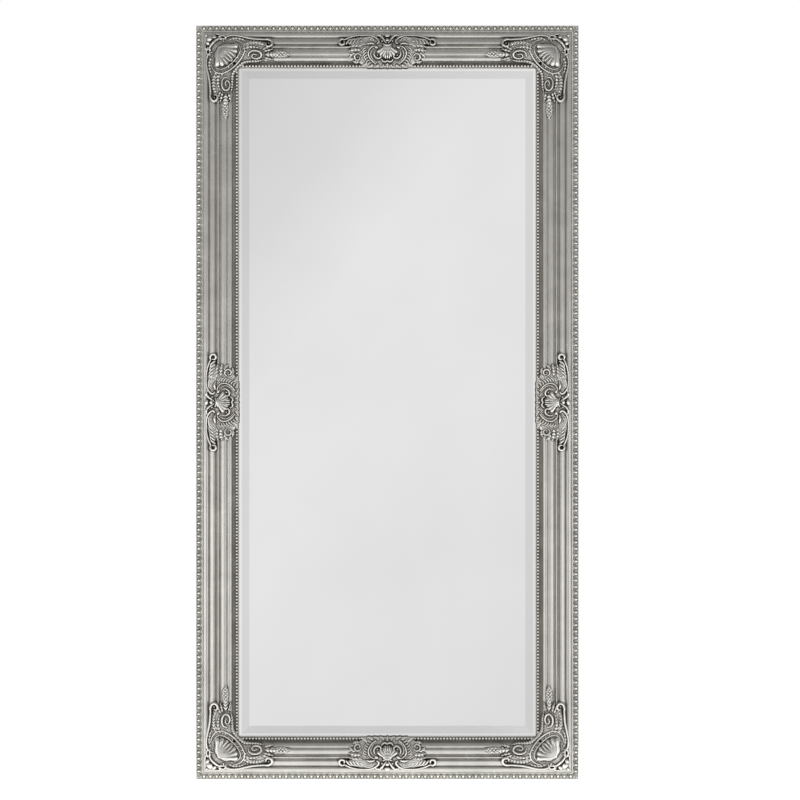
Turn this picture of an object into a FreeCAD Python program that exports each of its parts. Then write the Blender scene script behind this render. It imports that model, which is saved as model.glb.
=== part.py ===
import FreeCAD, Part
import math
import os
import Sketcher

# A tall wall mirror in a carved and silvered frame: four mitred rails with an egg row on the
# outer edge and a pearl row at the sight edge, a shell ornament on each corner, a cartouche in
# the middle of each side, a bevelled plate behind, and four hinged rings to hang it either way.
# Millimetres. +X is right, +Z is up and the front faces -Y. The origin is the middle of the
# flat bottom edge.

doc = FreeCAD.newDocument("baroque_mirror")
sheet = doc.addObject("Spreadsheet::Sheet", "Sizes")

SIZES = [
    # The frame as a whole
    ("frame_wide", 850), ("frame_high", 1675),
    # The moulding's section, from its outer edge inwards and from its back forwards
    ("rail_wide", 95), ("rail_deep", 38), ("edge_round", 1),
    ("egg_land_wide", 15.5), ("egg_land_high", 20),
    ("pearl_land_wide", 11.5), ("pearl_land_high", 22),
    ("lip_high", 16), ("rebate_wide", 9),
    # Bead rows
    ("egg_pitch", 13.9), ("egg_radius", 4.4), ("dart_radius", 1.7), ("egg_inset", 6.2),
    ("pearl_pitch", 7.2), ("pearl_radius", 3.25), ("pearl_inset", 5.2),
    ("bead_neck", 0.8), ("bead_gap", 0.3),
    # Ornaments
    ("corner_reach", 216), ("corner_inset", 21), ("corner_thick", 12),
    ("cartouche_wide", 220), ("cartouche_inset", 17.3), ("cartouche_thick", 12),
    ("scroll_radius", 3.4), ("pearl_cover", 0.5),
    # Mirror plate and what holds it
    ("glass_thick", 5), ("glass_gap", 2), ("bevel_wide", 30), ("bevel_drop", 1.5),
    ("lip_gap", 0.1), ("board_thick", 3), ("board_gap", 1.5),
    ("block_long", 40), ("block_high", 3),
    ("tab_wide", 8), ("tab_long", 15), ("tab_thick", 0.6), ("tab_pitch", 190),
    # Corner joints
    ("nail_leg", 9), ("nail_thick", 0.5), ("nail_deep", 10), ("nail_inset", 52), ("nail_step", 20),
    ("plate_leg", 62), ("plate_wide", 16), ("plate_thick", 1.5), ("plate_inset", 22),
    # Screws
    ("screw_radius", 1.75), ("screw_long", 14), ("screw_tip", 4),
    ("head_radius", 3.6), ("head_high", 2), ("hole_gap", 0.25),
    # Hangers and bumpers
    ("stile_hanger_drop", 335), ("rail_hanger_drop", 170), ("hanger_inset", 43),
    ("strap_long", 54), ("strap_wide", 14), ("strap_thick", 2), ("eye_wall", 1),
    ("screw_from_eye", 31), ("screw_apart", 14),
    ("wire_radius", 1.5), ("wire_gap", 0.08), ("ring_wide", 24), ("ring_long", 22),
    ("ring_bend", 7), ("ring_nook", 2.6), ("ring_lift", 0.3),
    ("bumper_radius", 8), ("bumper_high", 7), ("bumper_round", 1.5), ("bumper_inset", 12),
]
for row, (alias, value) in enumerate(SIZES, start=1):
    sheet.set(f"A{row}", alias)
    sheet.set(f"B{row}", str(value))
    sheet.setAlias(f"B{row}", alias)
doc.recompute()

# Section of the moulding between its two bead rows. Each point is a share of the width between
# the rows and a share of the moulding's depth; "arc" marks the middle of an arc.
SECTION_SHARES = [
    (0.015, 0.655), (0.096, 0.718, "arc"), (0.165, 0.635), (0.18, 0.632), (0.187, 0.66),
    (0.28, 0.768, "arc"), (0.379, 0.748), (0.395, 0.732), (0.425, 0.735), (0.444, 0.8),
    (0.456, 0.955), (0.482, 1.0, "arc"), (0.512, 0.945), (0.525, 0.875), (0.543, 0.854),
    (0.566, 0.864), (0.58, 0.9), (0.665, 0.944, "arc"), (0.775, 0.79), (0.788, 0.745),
    (0.8, 0.74), (0.812, 0.772), (0.868, 0.84, "arc"), (0.955, 0.72), (0.985, 0.6),
]


def size(alias):
    """A size from the sheet, for the pieces that are shaped in code."""
    return float(sheet.get(alias))


def check(found):
    """Stops the script where an object failed to build."""
    for item in found:
        if "Invalid" in item.State or "Error" in item.State:
            raise RuntimeError(f"{item.Label} failed: {item.State}")


def new_body(name):
    """An empty body."""
    made = doc.addObject("PartDesign::Body", name)
    made.Label = name
    return made


def new_sketch(body, name, role, base=("0", "0", "0"), turn=(0, 0, 1), degrees=0):
    """A sketch on one of the body's origin planes, moved by expressions and turned about an axis."""
    plane = [item for item in body.Origin.OriginFeatures if item.Role == role][0]
    sketch = body.newObject("Sketcher::SketchObject", name)
    sketch.AttachmentSupport = [(plane, "")]
    sketch.MapMode = "FlatFace"
    rotation = FreeCAD.Rotation(FreeCAD.Vector(*turn), degrees)
    sketch.AttachmentOffset = FreeCAD.Placement(FreeCAD.Vector(), rotation)
    for axis, expression in zip("xyz", base):
        sketch.setExpression(f"AttachmentOffset.Base.{axis}", expression)
    return sketch


def pin(sketch, geometry, end, point):
    """Ties one point of a sketch to two expressions."""
    for kind, expression in zip(("DistanceX", "DistanceY"), point):
        number = float(sketch.evalExpression(expression))
        index = sketch.addConstraint(Sketcher.Constraint(kind, geometry, end, number))
        sketch.setExpression(f"Constraints[{index}]", expression)


def draw(sketch, outline):
    """A closed outline of lines and three-point arcs, each point tied to the sheet."""
    def spot(point):
        return FreeCAD.Vector(*[float(sketch.evalExpression(text)) for text in point[:2]], 0)

    ends = []
    index = 0
    while index < len(outline):
        start = outline[index]
        after = outline[(index + 1) % len(outline)]
        if len(after) == 3:
            finish = outline[(index + 2) % len(outline)]
            shape = Part.Arc(spot(start), spot(after), spot(finish))
            index += 2
        else:
            shape = Part.LineSegment(spot(start), spot(after))
            index += 1
        edge = sketch.addGeometry(shape, False)
        first = 1 if sketch.getPoint(edge, 1).distanceToPoint(spot(start)) < 1e-6 else 2
        pin(sketch, edge, first, start[:2])
        if len(after) == 3:
            middle = sketch.addGeometry(Part.Point(spot(after)), True)
            pin(sketch, middle, 1, after[:2])
            sketch.addConstraint(Sketcher.Constraint("PointOnObject", middle, 1, edge))
        ends.append((edge, first, 3 - first))
    for here, there in zip(ends, ends[1:] + ends[:1]):
        sketch.addConstraint(
            Sketcher.Constraint("Coincident", here[0], here[2], there[0], there[1]))


def pad(body, sketch, length, both_ways=False):
    """A pad of a sketch."""
    made = body.newObject("PartDesign::Pad", sketch.Name + "_pad")
    made.Profile = sketch
    made.Midplane = both_ways
    made.setExpression("Length", length)
    body.Tip = made
    return made


def pocket(body, sketch, both_ways=True, reverse=False):
    """A pocket through everything."""
    made = body.newObject("PartDesign::Pocket", sketch.Name + "_pocket")
    made.Profile = sketch
    made.Type = "ThroughAll"
    made.Midplane = both_ways
    made.Reversed = reverse
    body.Tip = made
    return made


def place(x, y, z, turn=(0, 0, 1), degrees=0):
    """A placement, from a place and a turn about an axis."""
    return FreeCAD.Placement(FreeCAD.Vector(x, y, z),
                             FreeCAD.Rotation(FreeCAD.Vector(*turn), degrees))


def feature(name, shape, placement=None):
    """A node whose shape comes from code."""
    made = doc.addObject("Part::Feature", name)
    made.Label = name
    made.Shape = shape
    if placement:
        made.Placement = placement
    return made


BACK = "(Sizes.egg_land_high - Sizes.edge_round) / 2"
back = (size("egg_land_high") - size("edge_round")) / 2


def moulding_outline():
    """The moulding's section: x from the outer edge inwards, y from the back forwards."""
    middle = "(Sizes.rail_wide - Sizes.egg_land_wide - Sizes.pearl_land_wide)"
    points = [
        ("0", "0"),
        ("0", "Sizes.egg_land_high - Sizes.edge_round"),
        ("Sizes.edge_round", "Sizes.egg_land_high"),
        ("Sizes.egg_land_wide", "Sizes.egg_land_high"),
    ]
    for share in SECTION_SHARES:
        points.append((f"Sizes.egg_land_wide + {share[0]} * {middle}",
                       f"{share[1]} * Sizes.rail_deep") + share[2:])
    points += [
        ("Sizes.rail_wide - Sizes.pearl_land_wide", "Sizes.pearl_land_high"),
        ("Sizes.rail_wide", "Sizes.pearl_land_high"),
        ("Sizes.rail_wide", "Sizes.lip_high"),
        ("Sizes.rail_wide - Sizes.rebate_wide", "Sizes.lip_high"),
        ("Sizes.rail_wide - Sizes.rebate_wide", "0"),
    ]
    return points


def mitred_rail(name, role, base, turn, length, cutter_base, cutter_turn):
    """One side of the frame: the section padded to its outer length and mitred at both ends."""
    body = new_body(name)
    section = new_sketch(body, name + "_section", role, base, turn, 180)
    draw(section, moulding_outline())
    pad(body, section, length, both_ways=True)
    doc.recompute()
    waste = new_sketch(body, name + "_mitres", "XZ_Plane", cutter_base, (0, 0, 1), cutter_turn)
    over = "Sizes.edge_round"
    far = "(Sizes.rail_wide + Sizes.edge_round)"
    half = f"({length}) / 2"
    for side in ("-", ""):
        sign = "-1" if side else "1"
        draw(waste, [
            (f"{sign} * ({half} + {over})", over),
            (f"{sign} * ({half} + {over})", f"-{far}"),
            (f"{sign} * ({half} - {far})", f"-{far}"),
        ])
    pocket(body, waste)
    doc.recompute()
    return body


def frame_sides():
    """The four rails. Each lower or right side mirrors the one across the opening."""
    top = mitred_rail("top_rail", "YZ_Plane", (BACK, "Sizes.frame_high", "0"), (1, -1, 0),
                      "Sizes.frame_wide", ("0", "Sizes.frame_high", "0"), 0)
    left = mitred_rail("left_stile", "XY_Plane",
                       ("-Sizes.frame_wide / 2", BACK, "Sizes.frame_high / 2"), (1, 0, 0),
                       "Sizes.frame_high",
                       ("-Sizes.frame_wide / 2", "Sizes.frame_high / 2", "0"), 90)
    sides = {"top_rail": top, "left_stile": left}
    for name, source, normal in (("bottom_rail", top, (0, 0, 1)), ("right_stile", left, (1, 0, 0))):
        made = doc.addObject("Part::Mirroring", name)
        made.Label = name
        made.Source = source
        made.Normal = FreeCAD.Vector(*normal)
        if source is top:
            made.setExpression("Base.z", "Sizes.frame_high / 2")
        sides[name] = made
    doc.recompute()
    return sides


def bead_row(centres, radii, start, end):
    """Half-round beads on a thin neck, flat at the back: one profile turned half round its line."""
    neck = size("bead_neck")
    edges = []
    here = FreeCAD.Vector(start, 0, 0)
    path = [FreeCAD.Vector(start, 0, neck)]
    for centre, radius in zip(centres, radii):
        half = math.sqrt(radius ** 2 - neck ** 2)
        path.append((FreeCAD.Vector(centre - half, 0, neck), FreeCAD.Vector(centre, 0, radius),
                     FreeCAD.Vector(centre + half, 0, neck)))
    for item in path:
        if isinstance(item, tuple):
            if (item[0] - here).Length > 1e-6:
                edges.append(Part.LineSegment(here, item[0]).toShape())
            edges.append(Part.Arc(*item).toShape())
            here = item[2]
        else:
            edges.append(Part.LineSegment(here, item).toShape())
            here = item
    for item in (FreeCAD.Vector(end, 0, neck), FreeCAD.Vector(end, 0, 0),
                 FreeCAD.Vector(start, 0, 0)):
        if (item - here).Length > 1e-6:
            edges.append(Part.LineSegment(here, item).toShape())
            here = item
    face = Part.Face(Part.Wire(edges))
    return face.revolve(FreeCAD.Vector(), FreeCAD.Vector(1, 0, 0), 180)


def bead_rows(kind, inset, pitch, radius, between, land):
    """Four rows of beads. The level rows own the corner beads and the upright rows fit between."""
    rows = {}
    low, high = inset, size("frame_high") - inset
    wide = size("frame_wide") - 2 * inset
    for name, span, corners in (("level", wide, True), ("upright", high - low, False)):
        count = max(2, round(span / pitch))
        step = span / count
        end = span / 2 + radius if corners else span / 2 - radius - size("bead_gap")
        places = []
        for index in range(count + 1):
            if corners or 0 < index < count:
                places.append((index * step - span / 2, radius))
            if between and index < count:
                places.append(((index + 0.5) * step - span / 2, between))
        reach = radius if corners else 0
        places = [item for item in places if abs(item[0]) + item[1] < end + reach]
        centres = [item[0] for item in places]
        radii = [item[1] for item in places]
        rows[name] = bead_row(centres, radii, -end, end)
    y = back - land
    middle = size("frame_high") / 2
    put = {
        f"top_{kind}": (rows["level"], place(0, y, high)),
        f"bottom_{kind}": (rows["level"], place(0, y, low)),
        f"left_{kind}": (rows["upright"], place(-wide / 2, y, middle, (0, 1, 0), 90)),
        f"right_{kind}": (rows["upright"], place(wide / 2, y, middle, (0, 1, 0), 90)),
    }
    return {name: feature(name, shape, placed) for name, (shape, placed) in put.items()}


def at(u, t, h):
    """A point of an ornament: u along the rail, t in from its outer edge, h up from its back."""
    return FreeCAD.Vector(u, -h, -t)


def slab(outline, low, high):
    """A flat plate between two levels. A point that ends in "arc" is the middle of an arc."""
    edges = []
    index = 0
    while index < len(outline):
        after = outline[(index + 1) % len(outline)]
        start = at(*outline[index][:2], low)
        if len(after) == 3:
            finish = at(*outline[(index + 2) % len(outline)][:2], low)
            edges.append(Part.Arc(start, at(*after[:2], low), finish).toShape())
            index += 2
        else:
            edges.append(Part.LineSegment(start, at(*after[:2], low)).toShape())
            index += 1
    return Part.Face(Part.Wire(edges)).extrude(FreeCAD.Vector(0, low - high, 0))


def scroll(points, heading, radius, level, knob=1.3):
    """A round stem through points, each arc tangent to the one before, that ends in a ball."""
    edges = []
    angle = math.radians(heading)
    for (u0, t0), (u1, t1) in zip(points, points[1:]):
        chord = math.hypot(u1 - u0, t1 - t0)
        turn = math.atan2(t1 - t0, u1 - u0) - angle
        turn = math.atan2(math.sin(turn), math.cos(turn))
        start, finish = at(u0, t0, level), at(u1, t1, level)
        if abs(turn) < 0.01:
            edges.append(Part.LineSegment(start, finish).toShape())
        else:
            part = chord * math.sin(turn / 2) / math.sin(turn)
            middle = at(u0 + part * math.cos(angle + turn / 2),
                        t0 + part * math.sin(angle + turn / 2), level)
            edges.append(Part.Arc(start, middle, finish).toShape())
        angle += 2 * turn
    first = at(*points[0], level)
    tangent = edges[0].tangentAt(edges[0].FirstParameter)
    ring = Part.Wire([Part.makeCircle(radius, first, tangent)])
    stem = Part.Wire(edges).makePipeShell([ring], True, False)
    return [stem, Part.makeSphere(radius * knob, at(*points[-1], level))]


def leaf(base, tip, width, low, high, vein):
    """A pointed leaf with two curved edges and a round vein."""
    du, dt = tip[0] - base[0], tip[1] - base[1]
    across = width / 2 / math.hypot(du, dt)
    middle = ((base[0] + tip[0]) / 2, (base[1] + tip[1]) / 2)
    outline = [base, (middle[0] - dt * across, middle[1] + du * across, "arc"),
               tip, (middle[0] + dt * across, middle[1] - du * across, "arc")]
    rib = Part.makeCylinder(vein, math.hypot(du, dt) * 0.94, at(*base, high), at(*tip, 0) - at(*base, 0))
    return [slab(outline, low, high), rib]


def volute(spot, radius, stem, low, level):
    """The curled end of a scroll: a disc, its rolled rim and the ball at its eye."""
    disc = Part.makeCylinder(radius, level - low, at(*spot, low), FreeCAD.Vector(0, -1, 0))
    rim = Part.makeTorus(radius - stem / 2, stem, at(*spot, level), FreeCAD.Vector(0, -1, 0))
    eye = Part.makeSphere(radius * 0.36, at(*spot, level))
    return [disc, rim, eye]


def cap(spot, radius, low, high):
    """A dome with a round plan that rises from the lower level to the higher one."""
    rise = high - low
    ball = (radius ** 2 + rise ** 2) / (2 * rise)
    dome = Part.makeSphere(ball, at(*spot, high - ball))
    drum = Part.makeCylinder(radius * 0.97, 2 * rise, at(*spot, low - rise / 2),
                             FreeCAD.Vector(0, -1, 0))
    return dome.common(drum)


# Cartouche outline and details: shares of its half width along the rail, and of the way from
# its outer edge to the sight edge.
CARTOUCHE_PLATE_SHARES = [
    (-0.9, 0.16), (-0.55, 0.08, "arc"), (-0.22, 0.12), (-0.16, 0.02), (0, 0.0, "arc"),
    (0.16, 0.02), (0.22, 0.12), (0.55, 0.08, "arc"), (0.9, 0.16), (0.93, 0.42, "arc"),
    (0.76, 0.6), (0.7, 0.85, "arc"), (0.5, 0.95), (0, 1.03, "arc"), (-0.5, 0.95),
    (-0.7, 0.85, "arc"), (-0.76, 0.6), (-0.93, 0.42, "arc"),
]
CARTOUCHE_SCROLL_SHARES = [
    ([(0.8, 0.2), (0.55, 0.1), (0.25, 0.14), (0.1, 0.34)], 215, 0.85),
    ([(0.15, 0.44), (0.3, 0.5), (0.36, 0.68), (0.24, 0.84), (0.0, 0.9)], -5, 0.8),
    ([(0.1, 0.56), (0.22, 0.62), (0.2, 0.76), (0.08, 0.78)], 0, 0.75),
    ([(0.86, 0.34), (0.7, 0.52), (0.5, 0.5)], 60, 0.7),
]
CARTOUCHE_VOLUTE_SHARES = [((0.9, 0.26), 0.1), ((0.58, 0.72), 0.095)]
CARTOUCHE_LEAF_SHARES = [
    ((0.42, 0.34), (0.78, 0.36), 0.16), ((0.4, 0.5), (0.66, 0.56), 0.13),
    ((0.28, 0.86), (0.46, 0.78), 0.08),
]
CARTOUCHE_BALL_SHARES = [((0, 0.07), 0.052), ((0.13, 0.09), 0.036), ((0, 0.2), 0.036)]

# Corner outline and details: shares of the way from the ornament's outer edge to its leaf tips,
# along the rail and then down the stile. The other half mirrors it across the mitre.
CORNER_ARM_SHARES = [
    (0.02, 0.02), (0.17, 0.04, "arc"), (0.33, 0.0), (0.46, 0.0, "arc"), (0.6, 0.045),
    (0.79, 0.06, "arc"), (0.79, 0.14), (0.84, 0.17, "arc"), (1.0, 0.225),
    (0.82, 0.29, "arc"), (0.62, 0.27), (0.54, 0.31, "arc"), (0.47, 0.36),
]
CORNER_SCROLL_SHARES = [
    ([(0.26, 0.07), (0.33, 0.01), (0.45, 0.04), (0.6, 0.09), (0.72, 0.055)], -50, 0.85),
    ([(0.53, 0.2), (0.6, 0.255), (0.55, 0.31), (0.47, 0.3), (0.4, 0.34), (0.35, 0.35)], 30, 0.85),
]
CORNER_VOLUTE_SHARES = [((0.745, 0.105), 0.042)]
CORNER_LEAF_SHARES = [
    ((0.62, 0.22), (0.99, 0.225), 0.09), ((0.44, 0.15), (0.68, 0.17), 0.09),
    ((0.03, 0.03), (0.16, 0.16), 0.08), ((0.05, 0.12), (0.17, 0.19), 0.05),
]


def spot_share(share, width, inset, span):
    """A point of the cartouche, from its shares."""
    return (share[0] * width, inset + share[1] * span) + tuple(share[2:])


def cartouche(rail):
    """A scrolled cartouche: balls over a ribbed shell, in an oval of scrolls, with leafy wings."""
    half = size("cartouche_wide") / 2
    inset = size("cartouche_inset")
    span = size("rail_wide") - inset
    stem = size("scroll_radius")
    deep = size("rail_deep")
    thick = size("cartouche_thick")
    low = size("lip_high") + size("edge_round")
    plate = deep + 0.3 * thick
    parts = [slab([spot_share(share, half, inset, span) for share in CARTOUCHE_PLATE_SHARES],
                  low, plate)]
    for side in (-1, 1):
        for points, heading, thin in CARTOUCHE_SCROLL_SHARES:
            route = [spot_share((side * u, t), half, inset, span) for u, t in points]
            parts += scroll(route, heading if side > 0 else 180 - heading, stem * thin,
                            plate + 0.2 * thick)
        for (u, t), radius in CARTOUCHE_VOLUTE_SHARES:
            parts += volute(spot_share((side * u, t), half, inset, span), radius * half,
                            stem * 0.6, low, plate + 0.25 * thick)
        for base, tip, wide in CARTOUCHE_LEAF_SHARES:
            ends = [spot_share((side * u, t), half, inset, span) for u, t in (base, tip)]
            parts += leaf(*ends, wide * half, low, plate + 0.18 * thick, stem * 0.45)
    for (u, t), radius in CARTOUCHE_BALL_SHARES:
        for side in ((-1, 1) if u else (1,)):
            parts.append(Part.makeSphere(radius * half, at(side * u * half, inset + t * span,
                                                           plate + 0.2 * thick)))
    crown = (0, inset + 0.46 * span)
    parts.append(cap(crown, 0.16 * half, plate, deep + thick))
    for rib in range(-3, 4):
        angle = math.radians(rib * 24)
        reach = 0.27 * half
        tip = (crown[0] + reach * math.sin(angle), crown[1] + reach * math.cos(angle))
        start = (crown[0] + reach * 0.3 * math.sin(angle), crown[1] + reach * 0.3 * math.cos(angle))
        parts += scroll([start, tip], 90 - math.degrees(angle), stem * 0.62, plate + 0.25 * thick)
    return carve(parts, [rail], place(0, back, size("frame_high")))


def corner(rail, stile):
    """A corner: a domed shell over the mitre, with a scrolled and leafed arm along each side."""
    inset = size("corner_inset")
    span = size("corner_reach") - inset
    stem = size("scroll_radius")
    deep = size("rail_deep")
    thick = size("corner_thick")
    low = size("lip_high") + size("edge_round")
    plate = deep + 0.3 * thick
    sight = size("rail_wide")

    def spot(share, swap):
        u, t = share[:2]
        pair = (inset + t * span, inset + u * span) if swap else (inset + u * span, inset + t * span)
        return pair + tuple(share[2:])

    arm = [spot(share, False) for share in CORNER_ARM_SHARES]
    other = [spot(share, True) for share in reversed(CORNER_ARM_SHARES[1:])]
    parts = [slab(arm + [(sight, sight)] + other, low, plate)]
    for swap in (False, True):
        for points, heading, thin in CORNER_SCROLL_SHARES:
            parts += scroll([spot(share, swap) for share in points],
                            90 - heading if swap else heading, stem * thin, plate + 0.2 * thick)
        for share, radius in CORNER_VOLUTE_SHARES:
            parts += volute(spot(share, swap), radius * span, stem * 0.6, low,
                            plate + 0.25 * thick)
        for base, tip, wide in CORNER_LEAF_SHARES:
            parts += leaf(spot(base, swap), spot(tip, swap), wide * span, low,
                          plate + 0.18 * thick, stem * 0.45)
    heart = (inset + 0.25 * span, inset + 0.25 * span)
    parts.append(cap(heart, 0.14 * span, plate, deep + thick))
    for rib in range(-3, 4):
        angle = math.radians(45 + rib * 20)
        start = (heart[0] + 0.06 * span * math.cos(angle), heart[1] + 0.06 * span * math.sin(angle))
        tip = (heart[0] + 0.175 * span * math.cos(angle),
               heart[1] + 0.175 * span * math.sin(angle))
        parts += scroll([start, tip], math.degrees(angle), stem * 0.7, plate + 0.3 * thick)
    return carve(parts, [rail, stile],
                 place(-size("frame_wide") / 2, back, size("frame_high")))


def carve(parts, sides, placed):
    """Joins an ornament's forms and cuts its back to the moulding and to a channel for pearls."""
    whole = parts[0].multiFuse(parts[1:])
    whole.Placement = placed
    cutters = [side.Shape for side in sides]
    inset = size("rail_wide") - size("pearl_inset")
    channel = size("pearl_radius") + size("pearl_cover")
    y = back - size("pearl_land_high")
    level = size("frame_high") - inset
    edge = -size("frame_wide") / 2 + inset
    cutters.append(Part.makeCylinder(channel, size("frame_wide") - 2 * inset,
                                     FreeCAD.Vector(edge, y, level), FreeCAD.Vector(1, 0, 0)))
    if len(sides) > 1:
        cutters.append(Part.makeCylinder(channel, size("frame_high") / 2,
                                         FreeCAD.Vector(edge, y, level),
                                         FreeCAD.Vector(0, 0, -1)))
        cutters.append(Part.makeSphere(channel, FreeCAD.Vector(edge, y, level)))
    cut = whole.cut(cutters)
    solids = sorted(cut.Solids, key=lambda solid: solid.Volume)
    return solids[-1]


def frame_corners():
    """The four outer corners, each with the turn that brings a top left piece to it."""
    half, high = size("frame_wide") / 2, size("frame_high")
    return {"top_left": place(-half, back, high, (0, 1, 0), 0),
            "top_right": place(half, back, high, (0, 1, 0), 90),
            "bottom_right": place(half, back, 0, (0, 1, 0), 180),
            "bottom_left": place(-half, back, 0, (0, 1, 0), 270)}


def ornaments(sides):
    """Four corners and four cartouches, each cast from the same two forms and turned to its place."""
    half, high = size("frame_wide") / 2, size("frame_high")
    shape = corner(sides["top_rail"], sides["left_stile"])
    from_home = place(half, -back, -high)
    made = {}
    for name, turned in frame_corners().items():
        made[f"{name}_corner"] = feature(f"{name}_corner", shape.copy(),
                                         turned.multiply(from_home))
    shape = cartouche(sides["top_rail"])
    from_home = place(0, -back, -high)
    for name, x, z, turn in (("top", 0, high, 0), ("right", half, high / 2, 90),
                             ("bottom", 0, 0, 180), ("left", -half, high / 2, 270)):
        turned = place(x, back, z, (0, 1, 0), turn)
        made[f"{name}_cartouche"] = feature(f"{name}_cartouche", shape.copy(),
                                            turned.multiply(from_home))
    return made


LIP = "(Sizes.lip_high + Sizes.bevel_drop * (Sizes.bevel_wide - Sizes.rebate_wide + Sizes.glass_gap)"
LIP += " / Sizes.bevel_wide - Sizes.lip_gap)"
GLASS_BACK = f"({LIP} - Sizes.glass_thick)"
BOARD_BACK = f"({GLASS_BACK} - Sizes.board_thick)"


def rectangle(across, low, high):
    """A rectangle's corners, centred across."""
    return [(f"-({across}) / 2", low), (f"({across}) / 2", low),
            (f"({across}) / 2", high), (f"-({across}) / 2", high)]


def plate_in_rebate(name, gap, level, thick):
    """A plate that fills the rebate but for a gap all round."""
    body = new_body(name)
    sketch = new_sketch(body, name + "_outline", "XZ_Plane", ("0", "0", f"{level} - {BACK}"))
    border = f"(Sizes.rail_wide - Sizes.rebate_wide + {gap})"
    draw(sketch, rectangle(f"Sizes.frame_wide - 2 * {border}", border,
                           f"Sizes.frame_high - {border}"))
    pad(body, sketch, thick)
    doc.recompute()
    return body


def mirror_plate():
    """The mirror plate, with a wide shallow bevel round its front."""
    body = plate_in_rebate("mirror_glass", "Sizes.glass_gap", GLASS_BACK, "Sizes.glass_thick")
    front = body.Shape.BoundBox.YMin
    names = [f"Edge{index}" for index, edge in enumerate(body.Tip.Shape.Edges, start=1)
             if max(abs(vertex.Y - front) for vertex in edge.Vertexes) < 1e-6]
    before = body.Shape.Volume
    plate = body.Tip
    bevel = body.newObject("PartDesign::Chamfer", "glass_bevel")
    bevel.Base = (plate, names)
    bevel.ChamferType = "Two distances"
    bevel.setExpression("Size", "Sizes.bevel_drop")
    bevel.setExpression("Size2", "Sizes.bevel_wide")
    body.Tip = bevel
    doc.recompute()
    if body.Shape.BoundBox.YMin > front + 1e-6 or body.Shape.Volume >= before:
        raise RuntimeError("the bevel did not cut the plate")
    return body


def wall_places(count_along, count_up):
    """Places spread along the rebate's four walls, each with the turn that faces its wall."""
    wall = size("rail_wide") - size("rebate_wide")
    half = size("frame_wide") / 2 - wall
    low, high = wall, size("frame_high") - wall
    found = []
    for index in range(count_along):
        x = -half + 2 * half * (index + 0.5) / count_along
        found += [(x, high, 0), (x, low, 180)]
    for index in range(count_up):
        z = low + (high - low) * (index + 0.5) / count_up
        found += [(-half, z, 270), (half, z, 90)]
    return found


def setting_blocks():
    """Soft blocks that centre the plate in its rebate, two on each side."""
    level = size("lip_high") - size("block_high") - size("lip_gap")
    block = Part.makeBox(size("block_long"), size("block_high"), size("glass_gap"),
                         FreeCAD.Vector(-size("block_long") / 2, 0, -size("glass_gap")))
    y = back - level - size("block_high")
    blocks = []
    for x, z, turn in wall_places(2, 2):
        copy = block.copy()
        copy.Placement = place(x, y, z, (0, 1, 0), turn)
        blocks.append(copy)
    return feature("glass_setting_blocks", Part.makeCompound(blocks))


def framing_tabs():
    """Pointed steel tabs driven into the rebate's wall behind the backing board."""
    wide, thick = size("tab_wide"), size("tab_thick")
    inside = size("tab_long") * 0.6
    driven = size("tab_long") - inside
    corners = [(-wide / 2, -inside), (wide / 2, -inside), (wide / 2, driven / 2), (0, driven),
               (-wide / 2, driven / 2), (-wide / 2, -inside)]
    wire = Part.makePolygon([FreeCAD.Vector(x, 0, z) for x, z in corners])
    tab = Part.Face(wire).extrude(FreeCAD.Vector(0, thick, 0))
    y = back - doc_value(BOARD_BACK)
    along = max(2, round((size("frame_wide") - 2 * size("rail_wide")) / size("tab_pitch")))
    up = max(2, round((size("frame_high") - 2 * size("rail_wide")) / size("tab_pitch")))
    tabs = []
    for x, z, turn in wall_places(along, up):
        copy = tab.copy()
        copy.Placement = place(x, y, z, (0, 1, 0), turn)
        tabs.append(copy)
    return feature("framing_tabs", Part.makeCompound(tabs))


def doc_value(expression):
    """The value of an expression in the sheet's sizes."""
    return float(doc.Objects[-1].evalExpression(expression))


def mitre_nails():
    """Steel V nails driven into each mitre from behind, two to a corner."""
    leg, thick = size("nail_leg"), size("nail_thick")
    skew = thick * math.sqrt(2)
    corners = [(0, 0), (leg, 0), (leg, thick), (skew, thick), (thick, skew), (thick, leg),
               (0, leg), (0, 0)]
    wire = Part.makePolygon([FreeCAD.Vector(x, 0, -z) for x, z in corners])
    nail = Part.Face(wire).extrude(FreeCAD.Vector(0, -size("nail_deep"), 0))
    nails = []
    for corner_place in frame_corners().values():
        for index in (0, 1):
            inset = size("nail_inset") + index * size("nail_step")
            copy = nail.copy()
            copy.Placement = corner_place.multiply(place(inset, 0, -inset))
            nails.append(copy)
    return feature("mitre_nails", Part.makeCompound(nails))


PLATE_HOLE_SHARES = (0.46, 0.84)


def corner_plates():
    """Flat steel angles screwed across the back of each mitre."""
    body = new_body("corner_plate")
    outline = new_sketch(body, "corner_plate_outline", "XZ_Plane")
    draw(outline, [("0", "0"), ("Sizes.plate_leg", "0"), ("Sizes.plate_leg", "-Sizes.plate_wide"),
                   ("Sizes.plate_wide", "-Sizes.plate_wide"),
                   ("Sizes.plate_wide", "-Sizes.plate_leg"), ("0", "-Sizes.plate_leg")])
    pad(body, outline, "Sizes.plate_thick")
    doc.recompute()
    holes = new_sketch(body, "corner_plate_holes", "XZ_Plane")
    for share in PLATE_HOLE_SHARES:
        for swap in (False, True):
            spot = (f"{share} * Sizes.plate_leg", "Sizes.plate_wide / 2")
            spot = (spot[1], f"-{spot[0]}") if swap else (spot[0], f"-{spot[1]}")
            circle(holes, spot, "Sizes.screw_radius + Sizes.hole_gap")
    pocket(body, holes)
    doc.recompute()
    made = {}
    thick, inset = size("plate_thick"), size("plate_inset")
    for name, corner_place in frame_corners().items():
        label = f"{name}_corner_plate"
        made[label] = feature(label, body.Shape.copy(),
                              corner_place.multiply(place(inset, thick, -inset)))
    return made


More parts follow.
